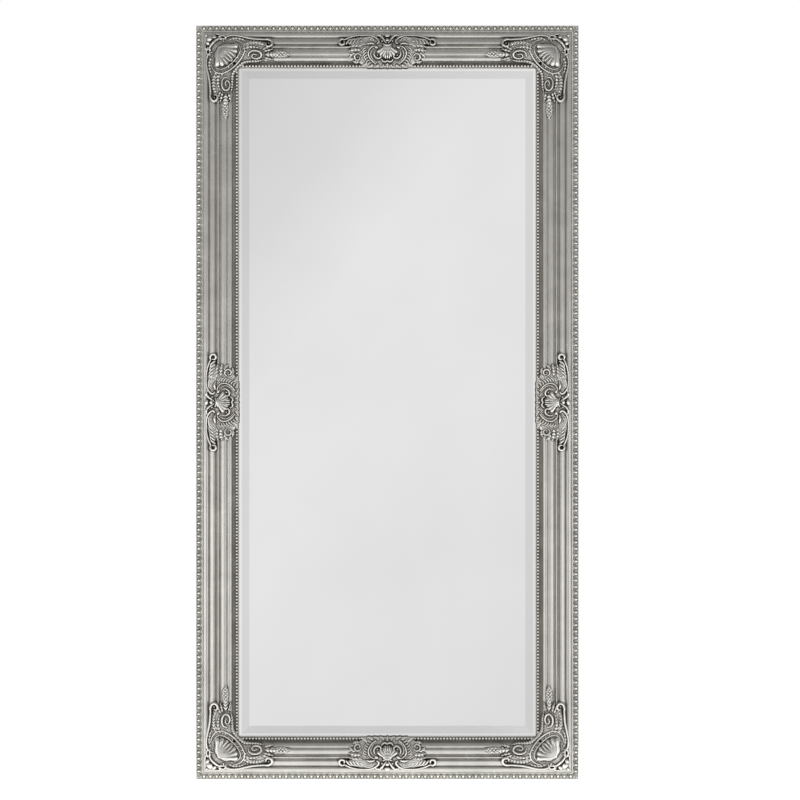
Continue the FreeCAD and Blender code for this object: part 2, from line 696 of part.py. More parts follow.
def circle(sketch, spot, radius):
    """A circle tied to the sheet."""
    centre = FreeCAD.Vector(*[float(sketch.evalExpression(text)) for text in spot], 0)
    value = float(sketch.evalExpression(radius))
    index = sketch.addGeometry(Part.Circle(centre, FreeCAD.Vector(0, 0, 1), value), False)
    pin(sketch, index, 3, spot)
    number = sketch.addConstraint(Sketcher.Constraint("Radius", index, value))
    sketch.setExpression(f"Constraints[{number}]", radius)


def wood_screw():
    """A pan head wood screw that points to -Y, its head's underside at zero."""
    radius, long, tip = size("screw_radius"), size("screw_long"), size("screw_tip")
    head, high = size("head_radius"), size("head_high")
    shank = Part.makeCylinder(radius, long - tip, FreeCAD.Vector(), FreeCAD.Vector(0, -1, 0))
    point = Part.makeCone(radius, radius * 0.15, tip, FreeCAD.Vector(0, tip - long, 0),
                          FreeCAD.Vector(0, -1, 0))
    half = math.hypot(head, high * 0.7)
    edges = [Part.LineSegment(FreeCAD.Vector(0, 0, 0), FreeCAD.Vector(head, 0, 0)).toShape(),
             Part.LineSegment(FreeCAD.Vector(head, 0, 0), FreeCAD.Vector(head, high * 0.4, 0)).toShape(),
             Part.Arc(FreeCAD.Vector(head, high * 0.4, 0),
                      FreeCAD.Vector(head * 0.6, high * 0.85, 0),
                      FreeCAD.Vector(0, high, 0)).toShape(),
             Part.LineSegment(FreeCAD.Vector(0, high, 0), FreeCAD.Vector(0, 0, 0)).toShape()]
    cap_solid = Part.Face(Part.Wire(edges)).revolve(FreeCAD.Vector(), FreeCAD.Vector(0, 1, 0), 360)
    slot = [Part.makeBox(wide, high, deep, FreeCAD.Vector(-wide / 2, high * 0.35, -deep / 2))
            for wide, deep in ((head * 1.1, head * 0.22), (head * 0.22, head * 1.1))]
    return cap_solid.fuse([shank, point]).cut(slot)


def screws(name, places):
    """A group of like screws."""
    one = wood_screw()
    group = []
    for placed in places:
        copy = one.copy()
        copy.Placement = placed
        group.append(copy)
    return feature(name, Part.makeCompound(group))


def corner_plate_screws():
    """The screws of the four corner plates."""
    places = []
    inset, leg = size("plate_inset"), size("plate_leg")
    row = inset + size("plate_wide") / 2
    for corner_place in frame_corners().values():
        for share in PLATE_HOLE_SHARES:
            reach = inset + share * leg
            for a, b in ((reach, row), (row, reach)):
                places.append(corner_place.multiply(place(a, size("plate_thick"), -b)))
    return screws("corner_plate_screws", places)


HINGE = "(Sizes.strap_thick + Sizes.ring_lift + Sizes.wire_radius)"
EYE = "(Sizes.wire_radius + Sizes.wire_gap + Sizes.eye_wall)"
ROUND_SHARE = 1 - math.sqrt(0.5)


def strap():
    """A hanger strap whose end is rolled into an eye. The eye's line is the X axis."""
    body = new_body("hanger_strap")
    side = new_sketch(body, "hanger_strap_side", "YZ_Plane")
    face = f"(Sizes.strap_thick - {HINGE})"
    draw(side, [(f"-{HINGE}", "-Sizes.strap_long"), (f"-{HINGE}", EYE), ("0", EYE),
                (EYE, "0", "arc"), ("0", f"-{EYE}"), (face, f"-{EYE}"),
                (face, "-Sizes.strap_long")])
    pad(body, side, "Sizes.strap_wide", both_ways=True)
    doc.recompute()
    bore = new_sketch(body, "hanger_strap_bore", "YZ_Plane")
    circle(bore, ("0", "0"), "Sizes.wire_radius + Sizes.wire_gap")
    pocket(body, bore)
    holes = new_sketch(body, "hanger_strap_holes", "XZ_Plane")
    for drop in ("Sizes.screw_from_eye", "(Sizes.screw_from_eye + Sizes.screw_apart)"):
        circle(holes, ("0", f"-{drop}"), "Sizes.screw_radius + Sizes.hole_gap")
    pocket(body, holes)
    doc.recompute()
    foot = body.Shape.BoundBox.ZMin
    names = [f"Edge{index}" for index, edge in enumerate(body.Tip.Shape.Edges, start=1)
             if max(abs(vertex.Z - foot) for vertex in edge.Vertexes) < 1e-6
             and edge.BoundBox.YLength > 1e-3]
    pierced = body.Tip
    rounding = body.newObject("PartDesign::Fillet", "hanger_strap_end")
    rounding.Base = (pierced, names)
    rounding.setExpression("Radius", "Sizes.strap_wide / 3")
    body.Tip = rounding
    doc.recompute()
    return body


def ring():
    """A hinged hanging ring of round wire. Its straight bar turns in the strap's eye."""
    body = new_body("hanger_ring")
    path = new_sketch(body, "hanger_ring_path", "XZ_Plane")
    half, long, nook, bend = ("Sizes.ring_wide / 2", "Sizes.ring_long", "Sizes.ring_nook",
                              "Sizes.ring_bend")
    right = [
        ("0", "0"), (f"{half} - {nook}", "0"),
        (f"{half} - {ROUND_SHARE} * {nook}", f"-{ROUND_SHARE} * {nook}", "arc"),
        (half, f"-{nook}"), (half, f"-({long} - {bend})"),
        (f"{half} - {ROUND_SHARE} * {bend}", f"-({long} - {ROUND_SHARE} * {bend})", "arc"),
        (f"{half} - {bend}", f"-{long}"),
    ]
    left = [(f"-({x})", z) + tuple(kind) for x, z, *kind in reversed(right[1:])]
    draw(path, right + left)
    doc.recompute()
    section = new_sketch(body, "hanger_ring_section", "YZ_Plane")
    circle(section, ("0", "0"), "Sizes.wire_radius")
    pipe = body.newObject("PartDesign::AdditivePipe", "hanger_ring_wire")
    pipe.Profile = section
    pipe.Spine = (path, [f"Edge{index}" for index in range(1, len(path.Shape.Edges) + 1)])
    body.Tip = pipe
    doc.recompute()
    return body


def hangers():
    """Four straps with their rings: one pair hangs the mirror upright, the other on its side."""
    half, high = size("frame_wide") / 2, size("frame_high")
    y = back + doc_value(HINGE)
    inset = size("hanger_inset")
    upright = high - size("stile_hanger_drop")
    across = half - size("rail_hanger_drop")
    put = {
        "left_stile": place(inset - half, y, upright),
        "right_stile": place(half - inset, y, upright),
        "top_rail": place(across, y, high - inset, (0, 1, 0), 90),
        "bottom_rail": place(across, y, inset, (0, 1, 0), 90),
    }
    strap_shape, ring_shape = strap().Shape, ring().Shape
    made = {}
    places = []
    for name, placed in put.items():
        made[f"{name}_hanger_strap"] = feature(f"{name}_hanger_strap", strap_shape.copy(), placed)
        made[f"{name}_hanger_ring"] = feature(f"{name}_hanger_ring", ring_shape.copy(), placed)
        seat = size("strap_thick") - doc_value(HINGE)
        for drop in (size("screw_from_eye"), size("screw_from_eye") + size("screw_apart")):
            places.append(placed.multiply(place(0, seat, -drop)))
    made["hanger_screws"] = screws("hanger_screws", places)
    return made


def bumpers():
    """Rubber bumpers that keep the frame off the wall, one behind each corner."""
    body = new_body("bumper")
    foot = new_sketch(body, "bumper_foot", "XZ_Plane")
    circle(foot, ("0", "0"), "Sizes.bumper_radius")
    bumper = pad(body, foot, "Sizes.bumper_high")
    doc.recompute()
    names = [f"Edge{index}" for index, edge in enumerate(bumper.Shape.Edges, start=1)
             if abs(edge.BoundBox.YMax) < 1e-6 and edge.BoundBox.YLength < 1e-6]
    rounding = body.newObject("PartDesign::Fillet", "bumper_edge")
    rounding.Base = (bumper, names)
    rounding.setExpression("Radius", "Sizes.bumper_round")
    body.Tip = rounding
    doc.recompute()
    inset = size("bumper_inset")
    group = []
    for corner_place in frame_corners().values():
        copy = body.Shape.copy()
        copy.Placement = corner_place.multiply(place(inset, size("bumper_high"), -inset))
        group.append(copy)
    return feature("wall_bumpers", Part.makeCompound(group))


nodes = frame_sides()
nodes.update(ornaments(nodes))
nodes.update(bead_rows("egg_row", size("egg_inset"), size("egg_pitch"), size("egg_radius"),
                       size("dart_radius"), size("egg_land_high")))
nodes.update(bead_rows("pearl_row", size("rail_wide") - size("pearl_inset"), size("pearl_pitch"),
                       size("pearl_radius"), 0, size("pearl_land_high")))
nodes["mirror_glass"] = mirror_plate()
nodes["glass_setting_blocks"] = setting_blocks()
nodes["backing_board"] = plate_in_rebate("backing_board", "Sizes.board_gap", BOARD_BACK,
                                         "Sizes.board_thick")
nodes["framing_tabs"] = framing_tabs()
nodes["mitre_nails"] = mitre_nails()
nodes.update(corner_plates())
nodes["corner_plate_screws"] = corner_plate_screws()
nodes.update(hangers())
nodes["wall_bumpers"] = bumpers()

doc.recompute()
check(doc.Objects)
os.makedirs("parts", exist_ok=True)
for name, node in nodes.items():
    if node.Shape.isNull() or not node.Shape.isValid():
        raise RuntimeError(f"{name} has no sound shape")
for name, node in nodes.items():
    node.Shape.exportStep(f"parts/{name}.step")
print(f"{len(nodes)} nodes written")
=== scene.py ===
"""Looks of a tall baroque mirror: silvered mouldings, carved relief, bevelled plate, plain back."""

import math
from functools import partial

import bpy
import numpy as np
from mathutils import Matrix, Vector


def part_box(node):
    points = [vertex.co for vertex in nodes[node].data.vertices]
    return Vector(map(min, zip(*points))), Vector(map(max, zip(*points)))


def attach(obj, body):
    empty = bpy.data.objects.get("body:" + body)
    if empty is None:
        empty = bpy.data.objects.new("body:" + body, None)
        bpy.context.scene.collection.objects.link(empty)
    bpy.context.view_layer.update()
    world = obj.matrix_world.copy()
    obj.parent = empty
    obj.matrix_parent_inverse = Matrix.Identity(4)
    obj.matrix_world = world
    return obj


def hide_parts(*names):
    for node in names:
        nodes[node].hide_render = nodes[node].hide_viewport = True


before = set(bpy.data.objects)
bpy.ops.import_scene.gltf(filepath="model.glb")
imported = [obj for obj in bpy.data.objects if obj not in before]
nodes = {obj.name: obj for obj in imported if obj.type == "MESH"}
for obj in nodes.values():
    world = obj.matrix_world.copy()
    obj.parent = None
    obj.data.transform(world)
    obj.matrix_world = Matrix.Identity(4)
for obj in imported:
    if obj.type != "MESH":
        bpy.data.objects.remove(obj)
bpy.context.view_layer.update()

MM = 0.001

# Sizes read from the frame, in metres
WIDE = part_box("right_stile")[1].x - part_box("left_stile")[0].x
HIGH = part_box("top_rail")[1].z
RAIL_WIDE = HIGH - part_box("top_rail")[0].z
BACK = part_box("top_rail")[1].y
RAIL_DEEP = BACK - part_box("top_rail")[0].y
GLASS_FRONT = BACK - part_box("mirror_glass")[0].y

# The moulding in millimetres: in from its outer edge, and forward from its back
BAR_WIDE = RAIL_WIDE / MM
BAR_DEEP = RAIL_DEEP / MM
EDGE_ROUND = 0.6
LIP_HIGH = 16.0
REBATE_WIDE = 9
EGG_LAND_WIDE = 15.5
EGG_LAND_HIGH = 20.0
EGG_BED_DROP = 2.6
PEARL_LAND_WIDE = 11.5
PEARL_LAND_HIGH = 22.0
# How far the egg row's bed and the pearls' land stop short of the bands between them
EGG_BED_GAP = 0.4
PEARL_LAND_GAP = 0.2
# Wax under the pearls: its cavity value, and the distances from the sight edge where it fades out
PEARL_WAX = 0.22
WAX_FADES = (2.0, 1.3)

# Section of the moulding between its bead rows: points of a smooth line, each a share of the width
# between the rows and a share of the moulding's depth
SECTION_SHARES = [
    (0.0, 0.6), (0.012, 0.65), (0.036, 0.688), (0.072, 0.712), (0.113, 0.72), (0.145, 0.706),
    (0.171, 0.676), (0.186, 0.638), (0.196, 0.628), (0.208, 0.66), (0.228, 0.702), (0.263, 0.74),
    (0.306, 0.772), (0.35, 0.784), (0.38, 0.774), (0.4, 0.748), (0.42, 0.728), (0.441, 0.732),
    (0.459, 0.774), (0.471, 0.88), (0.482, 0.966), (0.5, 1.), (0.517, 0.99), (0.53, 0.944),
    (0.541, 0.876), (0.558, 0.842), (0.577, 0.846), (0.597, 0.872), (0.628, 0.898),
    (0.668, 0.916), (0.706, 0.926), (0.738, 0.924), (0.762, 0.904), (0.779, 0.862), (0.789, 0.834),
    (0.8, 0.824), (0.812, 0.832), (0.834, 0.856), (0.866, 0.86), (0.902, 0.836), (0.935, 0.786),
    (0.958, 0.718), (0.972, 0.648), (0.984, 0.608), (1, 0.6),
]

# Egg-and-dart row in millimetres: along the bar, across it from the outer edge, and in height. An
# egg's half width is measured at EGG_WIDTH_AT, and a husk is a U-shaped part of a ring.
EGG_PITCH = 14.1
EGG_FIRST = 17.4
EGG_MITRE = 12.5
EGG_CELL = 0.7
EGG_LEAST_CELL = 1e-6
ROW_FLOOR = EGG_LAND_HIGH - 1.9
ROW_EDGE_DROP = 1.4
OUTER_LIP, OUTER_LIP_ROUND, OUTER_LIP_RISE = 1.7, 0.9, 2.0
INNER_LIP, INNER_LIP_ROUND, INNER_LIP_RISE = 12.1, 0.8, 2.2
INNER_EDGE, INNER_EDGE_RUN, INNER_EDGE_DROP = 14.7, 0.8, 1.6
EGG_MIDDLE, EGG_HALF_LONG, EGG_CROWN = 6.3, 4.4, 3.4
EGG_HALF_WIDE, EGG_WIDTH_AT, EGG_TAPER = 3.3, 6.0, 0.09
EGG_ROOT = EGG_LAND_HIGH - 1.2
HUSK_MIDDLE, HUSK_HALF_LONG, HUSK_HALF_WIDE = 5.2, 6.5, 5.1
HUSK_THINNESS, HUSK_START = 5.6, 1.0
HUSK_ROOT, HUSK_CROWN = EGG_LAND_HIGH - 1.7, 1.9
DART_HALF_WIDE, DART_START, DART_END, DART_POINT = 1.35, 1.4, 12.0, 8.0

# Pearl row: sizes in millimetres, its faces, and the wear and painted highlight on a pearl's crown
# and how it falls off into wax and painted shade down its sides
PEARL_PITCH = 7.2
PEARL_RADIUS = 3.25
PEARL_INSET = 4.6
PEARL_LIFT = 0.35
PEARL_SIDES = 16
PEARL_RINGS = 7
PEARL_WEAR_AND_HIGHLIGHT, PEARL_SIDE_SHADE_POWER = 0.96, 2.2

# Quarter turns clockwise from the top and from the top left, seen from the front
SIDE_TURNS = {"top": 0, "right": 1, "bottom": 2, "left": 3}
CORNER_TURNS = {"top_left": 0, "top_right": 1, "bottom_right": 2, "bottom_left": 3}
LEVEL_SIDES = ("top", "bottom")
BAR_OF_SIDE = {"top": "top_rail", "right": "right_stile", "bottom": "bottom_rail",
               "left": "left_stile"}

# Angles in degrees above which an edge stays sharp
BAR_SHARP = 28.0
BEAD_SHARP = 60.0
CARVED_SHARP = 75.0
PLATE_SHARP = 0.3


# Helpers

def turned(x, z, turns):
    """Quarter turns clockwise, seen from the front, about the origin."""
    for _ in range(turns % 4):
        x, z = z, -x
    return x, z


def side_length(side):
    """Outer length of a side in millimetres."""
    return (WIDE if side in LEVEL_SIDES else HIGH) / MM


def on_side(side, u, t, h):
    """Metres in the frame for a point u along a side's bar, t in from its outer edge, h high."""
    u, t, h = np.broadcast_arrays(u, t, h)
    reach = (HIGH if side in LEVEL_SIDES else WIDE) / 2
    x, z = turned(u * MM, reach - t * MM, SIDE_TURNS[side])
    return np.stack([x, BACK - h * MM, z + HIGH / 2], -1)


def on_corner(corner, a, b, h):
    """Metres in the frame for a point a along and b across the arm after an outer corner."""
    turns = CORNER_TURNS[corner]
    half, tall = (WIDE / 2, HIGH / 2) if turns % 2 == 0 else (HIGH / 2, WIDE / 2)
    x, z = turned(a * MM - half, tall - b * MM, turns)
    return np.stack([x, BACK - h * MM, z + HIGH / 2], -1)


def make_piece(name, points, faces, materials, replaced, sharp, cavity=None,
               face_material=None, body="frame"):
    """A mesh piece that rides on a body, with soft shading up to an angle."""
    mesh = bpy.data.meshes.new(name)
    mesh.from_pydata(np.asarray(points, float).reshape(-1, 3).tolist(), [], faces)
    piece = bpy.data.objects.new(name, mesh)
    bpy.context.scene.collection.objects.link(piece)
    for material in materials:
        mesh.materials.append(material)
    if face_material is not None:
        mesh.polygons.foreach_set("material_index", face_material)
    if cavity is not None:
        layer = mesh.attributes.new("cavity", "FLOAT", "POINT")
        layer.data.foreach_set("value", np.asarray(cavity, np.float32).ravel())
    mesh.set_sharp_from_angle(angle=math.radians(sharp))
    mesh.validate()
    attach(piece, body)
    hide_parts(*replaced)
    return piece


def grid_faces(rows, columns, keep):
    """The quads of a grid of points that keep marks."""
    index = np.arange(rows * columns).reshape(rows, columns)
    quads = np.stack([index[:-1, :-1], index[1:, :-1], index[1:, 1:], index[:-1, 1:]], -1)
    return quads[keep]


def compact(points, quads, depth):
    """Drops the points that no quad uses, and their values."""
    used = np.unique(quads)
    fresh = np.full(len(points), -1)
    fresh[used] = np.arange(len(used))
    return points[used], fresh[quads].tolist(), depth[used]


def blurred(field, reach):
    """A field averaged over squares, twice."""
    for _ in range(2):
        for axis in (0, 1):
            width = 2 * reach + 1
            pad = [(0, 0), (0, 0)]
            pad[axis] = (reach + 1, reach)
            total = np.cumsum(np.pad(field, pad, mode="edge"), axis=axis)
            upper = np.take(total, range(width, total.shape[axis]), axis=axis)
            lower = np.take(total, range(0, total.shape[axis] - width), axis=axis)
            field = (upper - lower) / width
    return field


# Wear of a level face, and the reach in millimetres and the weight of what is near a point and of
# what is further round it
LEVEL_WEAR = 0.52
NEAR_REACH, NEAR_WEIGHT = 1.2, 0.2
WIDE_REACH, WIDE_WEIGHT = 4.0, 0.085


def cavity_of(height, cell):
    """How far each point lies above (over a half) or below (under it) what is round it."""
    near = height - blurred(height, max(1, round(NEAR_REACH / cell)))
    wide = height - blurred(height, max(1, round(WIDE_REACH / cell)))
    return np.clip(LEVEL_WEAR + NEAR_WEIGHT * near + WIDE_WEIGHT * wide, 0, 1)


# Relief

# In millimetres: height where nothing is laid, how steeply a form's wall falls and how far out it
# goes, how far round a form the ground is pressed down, and height of a patch's edge
BARE = -9.0
SKIRT = 6.0
WALL = 2.5
MOAT = 0.9
PATCH_EDGE = -1.5
# Cells that are measured against a line at a time
NEAR_BATCH = 8000


def curve(points, spacing=0.6):
    """A smooth line through points. Each row may carry a width after its two coordinates."""
    rows = np.asarray(points, float)
    rows = np.vstack([2 * rows[0] - rows[1], rows, 2 * rows[-1] - rows[-2]])
    found = []
    for a, b, c, d in zip(rows, rows[1:], rows[2:], rows[3:]):
        steps = max(2, int(np.hypot(*(c - b)[:2]) / spacing))
        t = (np.arange(steps) / steps)[:, None]
        found.append(0.5 * (2 * b + (c - a) * t + (2 * a - 5 * b + 4 * c - d) * t ** 2
                            + (3 * b - a - 3 * c + d) * t ** 3))
    found.append(rows[-2:-1])
    return np.vstack(found)


class Relief:
    """A height field in millimetres, modelled stroke by stroke like clay on a board."""

    def __init__(self, x, y):
        self.x, self.y = x, y
        self.over = np.full(x.shape, BARE)

    def near(self, path, reach):
        """Cells near a line: how far off, on which side, how far along, its length and width."""
        low, high = path[:, :2].min(0) - reach, path[:, :2].max(0) + reach
        cells = np.nonzero((self.x > low[0]) & (self.x < high[0])
                           & (self.y > low[1]) & (self.y < high[1]))
        px, py = self.x[cells], self.y[cells]
        nearest = np.empty(len(px), int)
        for start in range(0, len(px), NEAR_BATCH):
            part = slice(start, start + NEAR_BATCH)
            gap = (px[part, None] - path[:, 0]) ** 2 + (py[part, None] - path[:, 1]) ** 2
            nearest[part] = gap.argmin(1)
        along = np.gradient(path[:, :2], axis=0)
        along /= np.maximum(np.hypot(*along.T), 1e-9)[:, None]
        dx, dy = px - path[nearest, 0], py - path[nearest, 1]
        side = along[nearest, 0] * dy - along[nearest, 1] * dx
        ahead = along[nearest, 0] * dx + along[nearest, 1] * dy
        way = np.concatenate([[0], np.cumsum(np.hypot(*np.diff(path[:, :2], axis=0).T))])
        return cells, np.hypot(dx, dy), side, way[nearest] + ahead, way[-1], path[nearest, 2]

    def lay(self, cells, height, beyond, sink=1.2):
        """Lays a steep-walled form over what is there, and presses the clay down round it."""
        level = self.over[cells]
        pressed = sink * np.clip(1 - beyond / MOAT, 0, 1) * (beyond > 0) * (level > BARE / 2)
        wall = np.where(beyond < WALL, height - SKIRT * np.maximum(beyond, 0), BARE)
        self.over[cells] = np.maximum(level - pressed, wall)

    def stem(self, points, crown, lift=0.0, sink=1.2):
        """A round stem. A point is x, y, radius."""
        path = curve(points)
        widest = path[:, 2].max()
        cells, far, *_, radius = self.near(path, widest + WALL)
        round_top = np.sqrt(np.clip(1 - (far / radius) ** 2, 0, 1))
        self.lay(cells, lift + crown * radius / widest * round_top, far - radius, sink)

    def leaf(self, points, crown, lobes, lift, cut, sweep=0.8, vein=1.0):
        """An acanthus leaf with lobes swept to its tip. A point is x, y, half width."""
        path = curve(points)
        widest = path[:, 2].max()
        cells, far, side, way, whole, width = self.near(path, widest + WALL)
        width = np.maximum(width, 0.4)
        bite = np.abs(np.sin(math.pi * lobes * (way - sweep * np.abs(side)) / whole))
        edge = width * (1 - cut + cut * bite ** 0.7)
        share = np.abs(side) / edge
        past = np.maximum(far - np.abs(side), 0) * ((way < 0) | (way > whole))
        beyond = np.maximum(np.abs(side) - edge, past)
        beyond = np.where(past > 0, np.maximum(beyond, far - edge * 0.8), beyond)
        body = np.sqrt(np.clip(1 - np.minimum(share, 1) ** 2, 0, 1))
        rib = np.exp(-(side / (0.1 * widest + 0.35)) ** 2)
        height = lift + crown * (0.4 + 0.6 * width / widest) * body * (0.6 + 0.4 * bite)
        height = height + 0.8 * rib * body - vein * (1 - bite) ** 2 * np.clip(share * 1.5, 0, 1)
        height = np.where(beyond > 0, lift, height)
        self.lay(cells, height, beyond, 1.0)

    def ball(self, centre, radius, crown, lift, stretch=1.0, turn=0.0, sink=1.3):
        """A ball or, stretched, an oval bead."""
        c, s = math.cos(math.radians(turn)), math.sin(math.radians(turn))
        dx, dy = self.x - centre[0], self.y - centre[1]
        far = np.hypot((c * dx + s * dy) / stretch, -s * dx + c * dy)
        cells = np.nonzero(far < radius + WALL)
        far = far[cells]
        height = lift + crown * np.sqrt(np.clip(1 - (far / radius) ** 2, 0, 1))
        self.lay(cells, height, far - radius, sink)

    def fan(self, centre, facing, spread, inner, outer, ribs, crown, lift, rib, sharp, roll=0.2):
        """A ribbed shell. Its ribs deepen towards a scalloped, rolled rim."""
        dx, dy = self.x - centre[0], self.y - centre[1]
        far = np.hypot(dx, dy)
        angle = (np.degrees(np.arctan2(dy, dx)) - facing + 180) % 360 - 180
        hump = np.abs(np.sin(math.pi * (angle / spread + 1) / 2 * ribs))
        rim = outer * (0.92 + 0.08 * hump ** 0.6)
        share = np.clip(far / rim, 0, 1)
        aside = np.radians(np.abs(angle) - spread) * far
        beyond = np.maximum.reduce([far - rim, aside, inner - far])
        cells = np.nonzero(beyond < WALL)
        dome = np.cos(0.5 * math.pi * (share - 0.45))
        edge = np.sqrt(np.clip(1 - np.clip((share - 1 + roll) / roll, 0, 1) ** 2, 0, 1))
        ribbed = crown * dome + rib * (hump - 0.6) * share ** sharp
        height = lift + ribbed * (0.25 + 0.75 * edge)
        self.lay(cells, height[cells], beyond[cells])

    def patch(self, outline, lift, roll, cross, pitch, turn):
        """A level patch inside a smooth outline, with a rolled edge and a cut lattice."""
        shape = curve([*outline, outline[0]], 1.5)[:, :2]
        far = np.full(self.x.shape, 1e9)
        inside = np.zeros(self.x.shape, bool)
        for (x0, y0), (x1, y1) in zip(shape, np.roll(shape, -1, 0)):
            dx, dy = x1 - x0, y1 - y0
            t = np.clip(((self.x - x0) * dx + (self.y - y0) * dy) / (dx * dx + dy * dy + 1e-12),
                        0, 1)
            far = np.minimum(far, np.hypot(self.x - x0 - t * dx, self.y - y0 - t * dy))
            if dy:
                crossed = (y0 > self.y) != (y1 > self.y)
                inside ^= crossed & (self.x < x0 + (self.y - y0) * dx / dy)
        rise = np.sqrt(np.clip(1 - (1 - np.minimum(far / roll, 1)) ** 2, 0, 1))
        c, s = math.cos(math.radians(turn)), math.sin(math.radians(turn))
        u, v = c * self.x + s * self.y, -s * self.x + c * self.y
        grid = np.minimum(np.abs(np.sin(math.pi * u / pitch)), np.abs(np.sin(math.pi * v / pitch)))
        height = PATCH_EDGE + np.where(
            inside, (lift - PATCH_EDGE) * rise + cross * (grid ** 0.5 - 0.6), 0)
        beyond = np.where(inside, -far, far)
        cells = np.nonzero(beyond < WALL)
        self.lay(cells, height[cells], beyond[cells], 0.0)


# Moulding

def section():
    """Points of the moulding's section, t and h in millimetres, from its outer foot inwards."""
    span = BAR_WIDE - EGG_LAND_WIDE - PEARL_LAND_WIDE
    bed = EGG_LAND_HIGH - EGG_BED_DROP
    outer = [(EDGE_ROUND, 0.0), (0.0, EDGE_ROUND), (0.0, bed), (EGG_LAND_WIDE - EGG_BED_GAP, bed)]
    bands = curve([(EGG_LAND_WIDE + span * t, BAR_DEEP * h) for t, h in SECTION_SHARES], 0.8)
    land = [BAR_WIDE - PEARL_LAND_WIDE + PEARL_LAND_GAP, *(BAR_WIDE - inset for inset in WAX_FADES),
            BAR_WIDE - EDGE_ROUND]
    rebate = BAR_WIDE - REBATE_WIDE
    inner = [*((t, PEARL_LAND_HIGH) for t in land), (BAR_WIDE, PEARL_LAND_HIGH - EDGE_ROUND),
             (BAR_WIDE, LIP_HIGH), (rebate, LIP_HIGH), (rebate, 0.0)]
    return np.vstack([outer, bands, inner])


def rail_top(t):
    """Height of the bare moulding at a distance in from its outer edge."""
    points = section()[2:-3]
    return np.interp(t, points[:, 0], points[:, 1])


# Samples across a bar, wear of its level face, and the reach in samples and the weight of what is
# near a point and of what is further round it
BAR_SAMPLES = 700
BAR_WEAR = 0.5
BAR_REACHES = ((15, 0.07), (45, 0.02))


def section_cavity(t):
    """How far the moulding's face lies above or below what is round it."""
    across = np.linspace(0, BAR_WIDE, BAR_SAMPLES)
    line = rail_top(across)
    depth = BAR_WEAR
    for reach, weight in BAR_REACHES:
        window = np.ones(2 * reach + 1) / (2 * reach + 1)
        smooth = np.convolve(np.pad(line, reach, mode="edge"), window, "valid")
        depth = depth + weight * np.interp(t, across, line - smooth)
    under_pearls = (t > BAR_WIDE - PEARL_LAND_WIDE - 1) & (t <= BAR_WIDE - WAX_FADES[0])
    return np.where(under_pearls, PEARL_WAX, np.clip(depth, 0, 1))


def moulding(side, silver, wood):
    """One mitred bar of the frame: silvered in front and at its edges, bare wood behind."""
    t, h = section().T
    half = side_length(side) / 2
    points = on_side(side, np.stack([t - half, half - t]), t, h)
    count = len(t)
    faces = [(i, (i + 1) % count, count + (i + 1) % count, count + i) for i in range(count)]
    faces += [tuple(range(count))[::-1], tuple(range(count, 2 * count))]
    # Bare are the lip's underside, the rebate's wall, the back and both mitred ends
    bare = 5
    return make_piece(f"{side}_moulding", points, faces, [silver, wood],
                      [BAR_OF_SIDE[side]], BAR_SHARP, np.tile(section_cavity(t), 2),
                      [0] * (len(faces) - bare) + [1] * bare)


# Bead rows

def rounded_step(t, start, run):
    """A quarter round: nothing at the start, and a whole at the end of its run."""
    return np.sqrt(1 - (1 - np.clip((t - start) / run, 0, 1)) ** 2)


def egg_height(u, t):
    """Egg and dart: eggs in U-shaped husks with a dart between, in a shallow channel."""
    along = (u - EGG_FIRST + EGG_PITCH / 2) % EGG_PITCH - EGG_PITCH / 2
    outer = OUTER_LIP_RISE * rounded_step(t, OUTER_LIP, -OUTER_LIP_ROUND)
    inner = INNER_LIP_RISE * rounded_step(t, INNER_LIP, INNER_LIP_ROUND)
    height = ROW_FLOOR + np.maximum(outer, inner)
    height = height - INNER_EDGE_DROP * np.clip((t - INNER_EDGE) / INNER_EDGE_RUN, 0, 1)
    half_wide = EGG_HALF_WIDE - EGG_TAPER * (t - EGG_WIDTH_AT)
    egg = 1 - (along / half_wide) ** 2 - ((t - EGG_MIDDLE) / EGG_HALF_LONG) ** 2
    height = np.maximum(height, EGG_ROOT + EGG_CROWN * np.sqrt(np.clip(egg, 0, 1)))
    ring = np.hypot(along / HUSK_HALF_WIDE, (t - HUSK_MIDDLE) / HUSK_HALF_LONG)
    husk = np.clip(1 - ((ring - 1) * HUSK_THINNESS) ** 2, 0, 1) * (t > HUSK_START)
    gap = EGG_PITCH / 2 - np.abs(along)
    dart_wide = DART_HALF_WIDE * np.clip((DART_END - t) / DART_POINT, 0.05, 1)
    dart = np.clip(1 - (gap / dart_wide) ** 2, 0, 1) * (t > DART_START) * (t < DART_END)
    return np.maximum(height, HUSK_ROOT + HUSK_CROWN * np.sqrt(np.maximum(husk, dart)))


def egg_row(side, silver):
    """The egg-and-dart strip along one bar, mitred at both ends."""
    half = side_length(side) / 2
    t = np.linspace(0, EGG_LAND_WIDE, round(EGG_LAND_WIDE / EGG_CELL) + 1)[:, None]
    share = np.linspace(-1, 1, round(2 * half / EGG_CELL))
    u = np.clip(share * half, t - half, half - t)
    eggs = round((2 * half - 2 * EGG_FIRST) / EGG_PITCH)
    stretch = (2 * half - 2 * EGG_FIRST) / eggs / EGG_PITCH
    place = EGG_FIRST + (half + u - EGG_FIRST) / stretch
    height = egg_height(place, np.broadcast_to(t, u.shape))
    height = np.where(half - np.abs(u) < EGG_MITRE, np.minimum(height, EGG_LAND_HIGH), height)
    depth = cavity_of(height, EGG_CELL)
    height[0] -= ROW_EDGE_DROP
    step = np.abs(np.diff(u, axis=1))
    quads = grid_faces(*u.shape, step[:-1] + step[1:] > EGG_LEAST_CELL)
    points = on_side(side, u, t, height).reshape(-1, 3)
    points, faces, depth = compact(points, quads, depth.ravel())
    return make_piece(f"{side}_egg_and_dart", points, faces, [silver],
                      [f"{side}_egg_row"], BEAD_SHARP, depth)


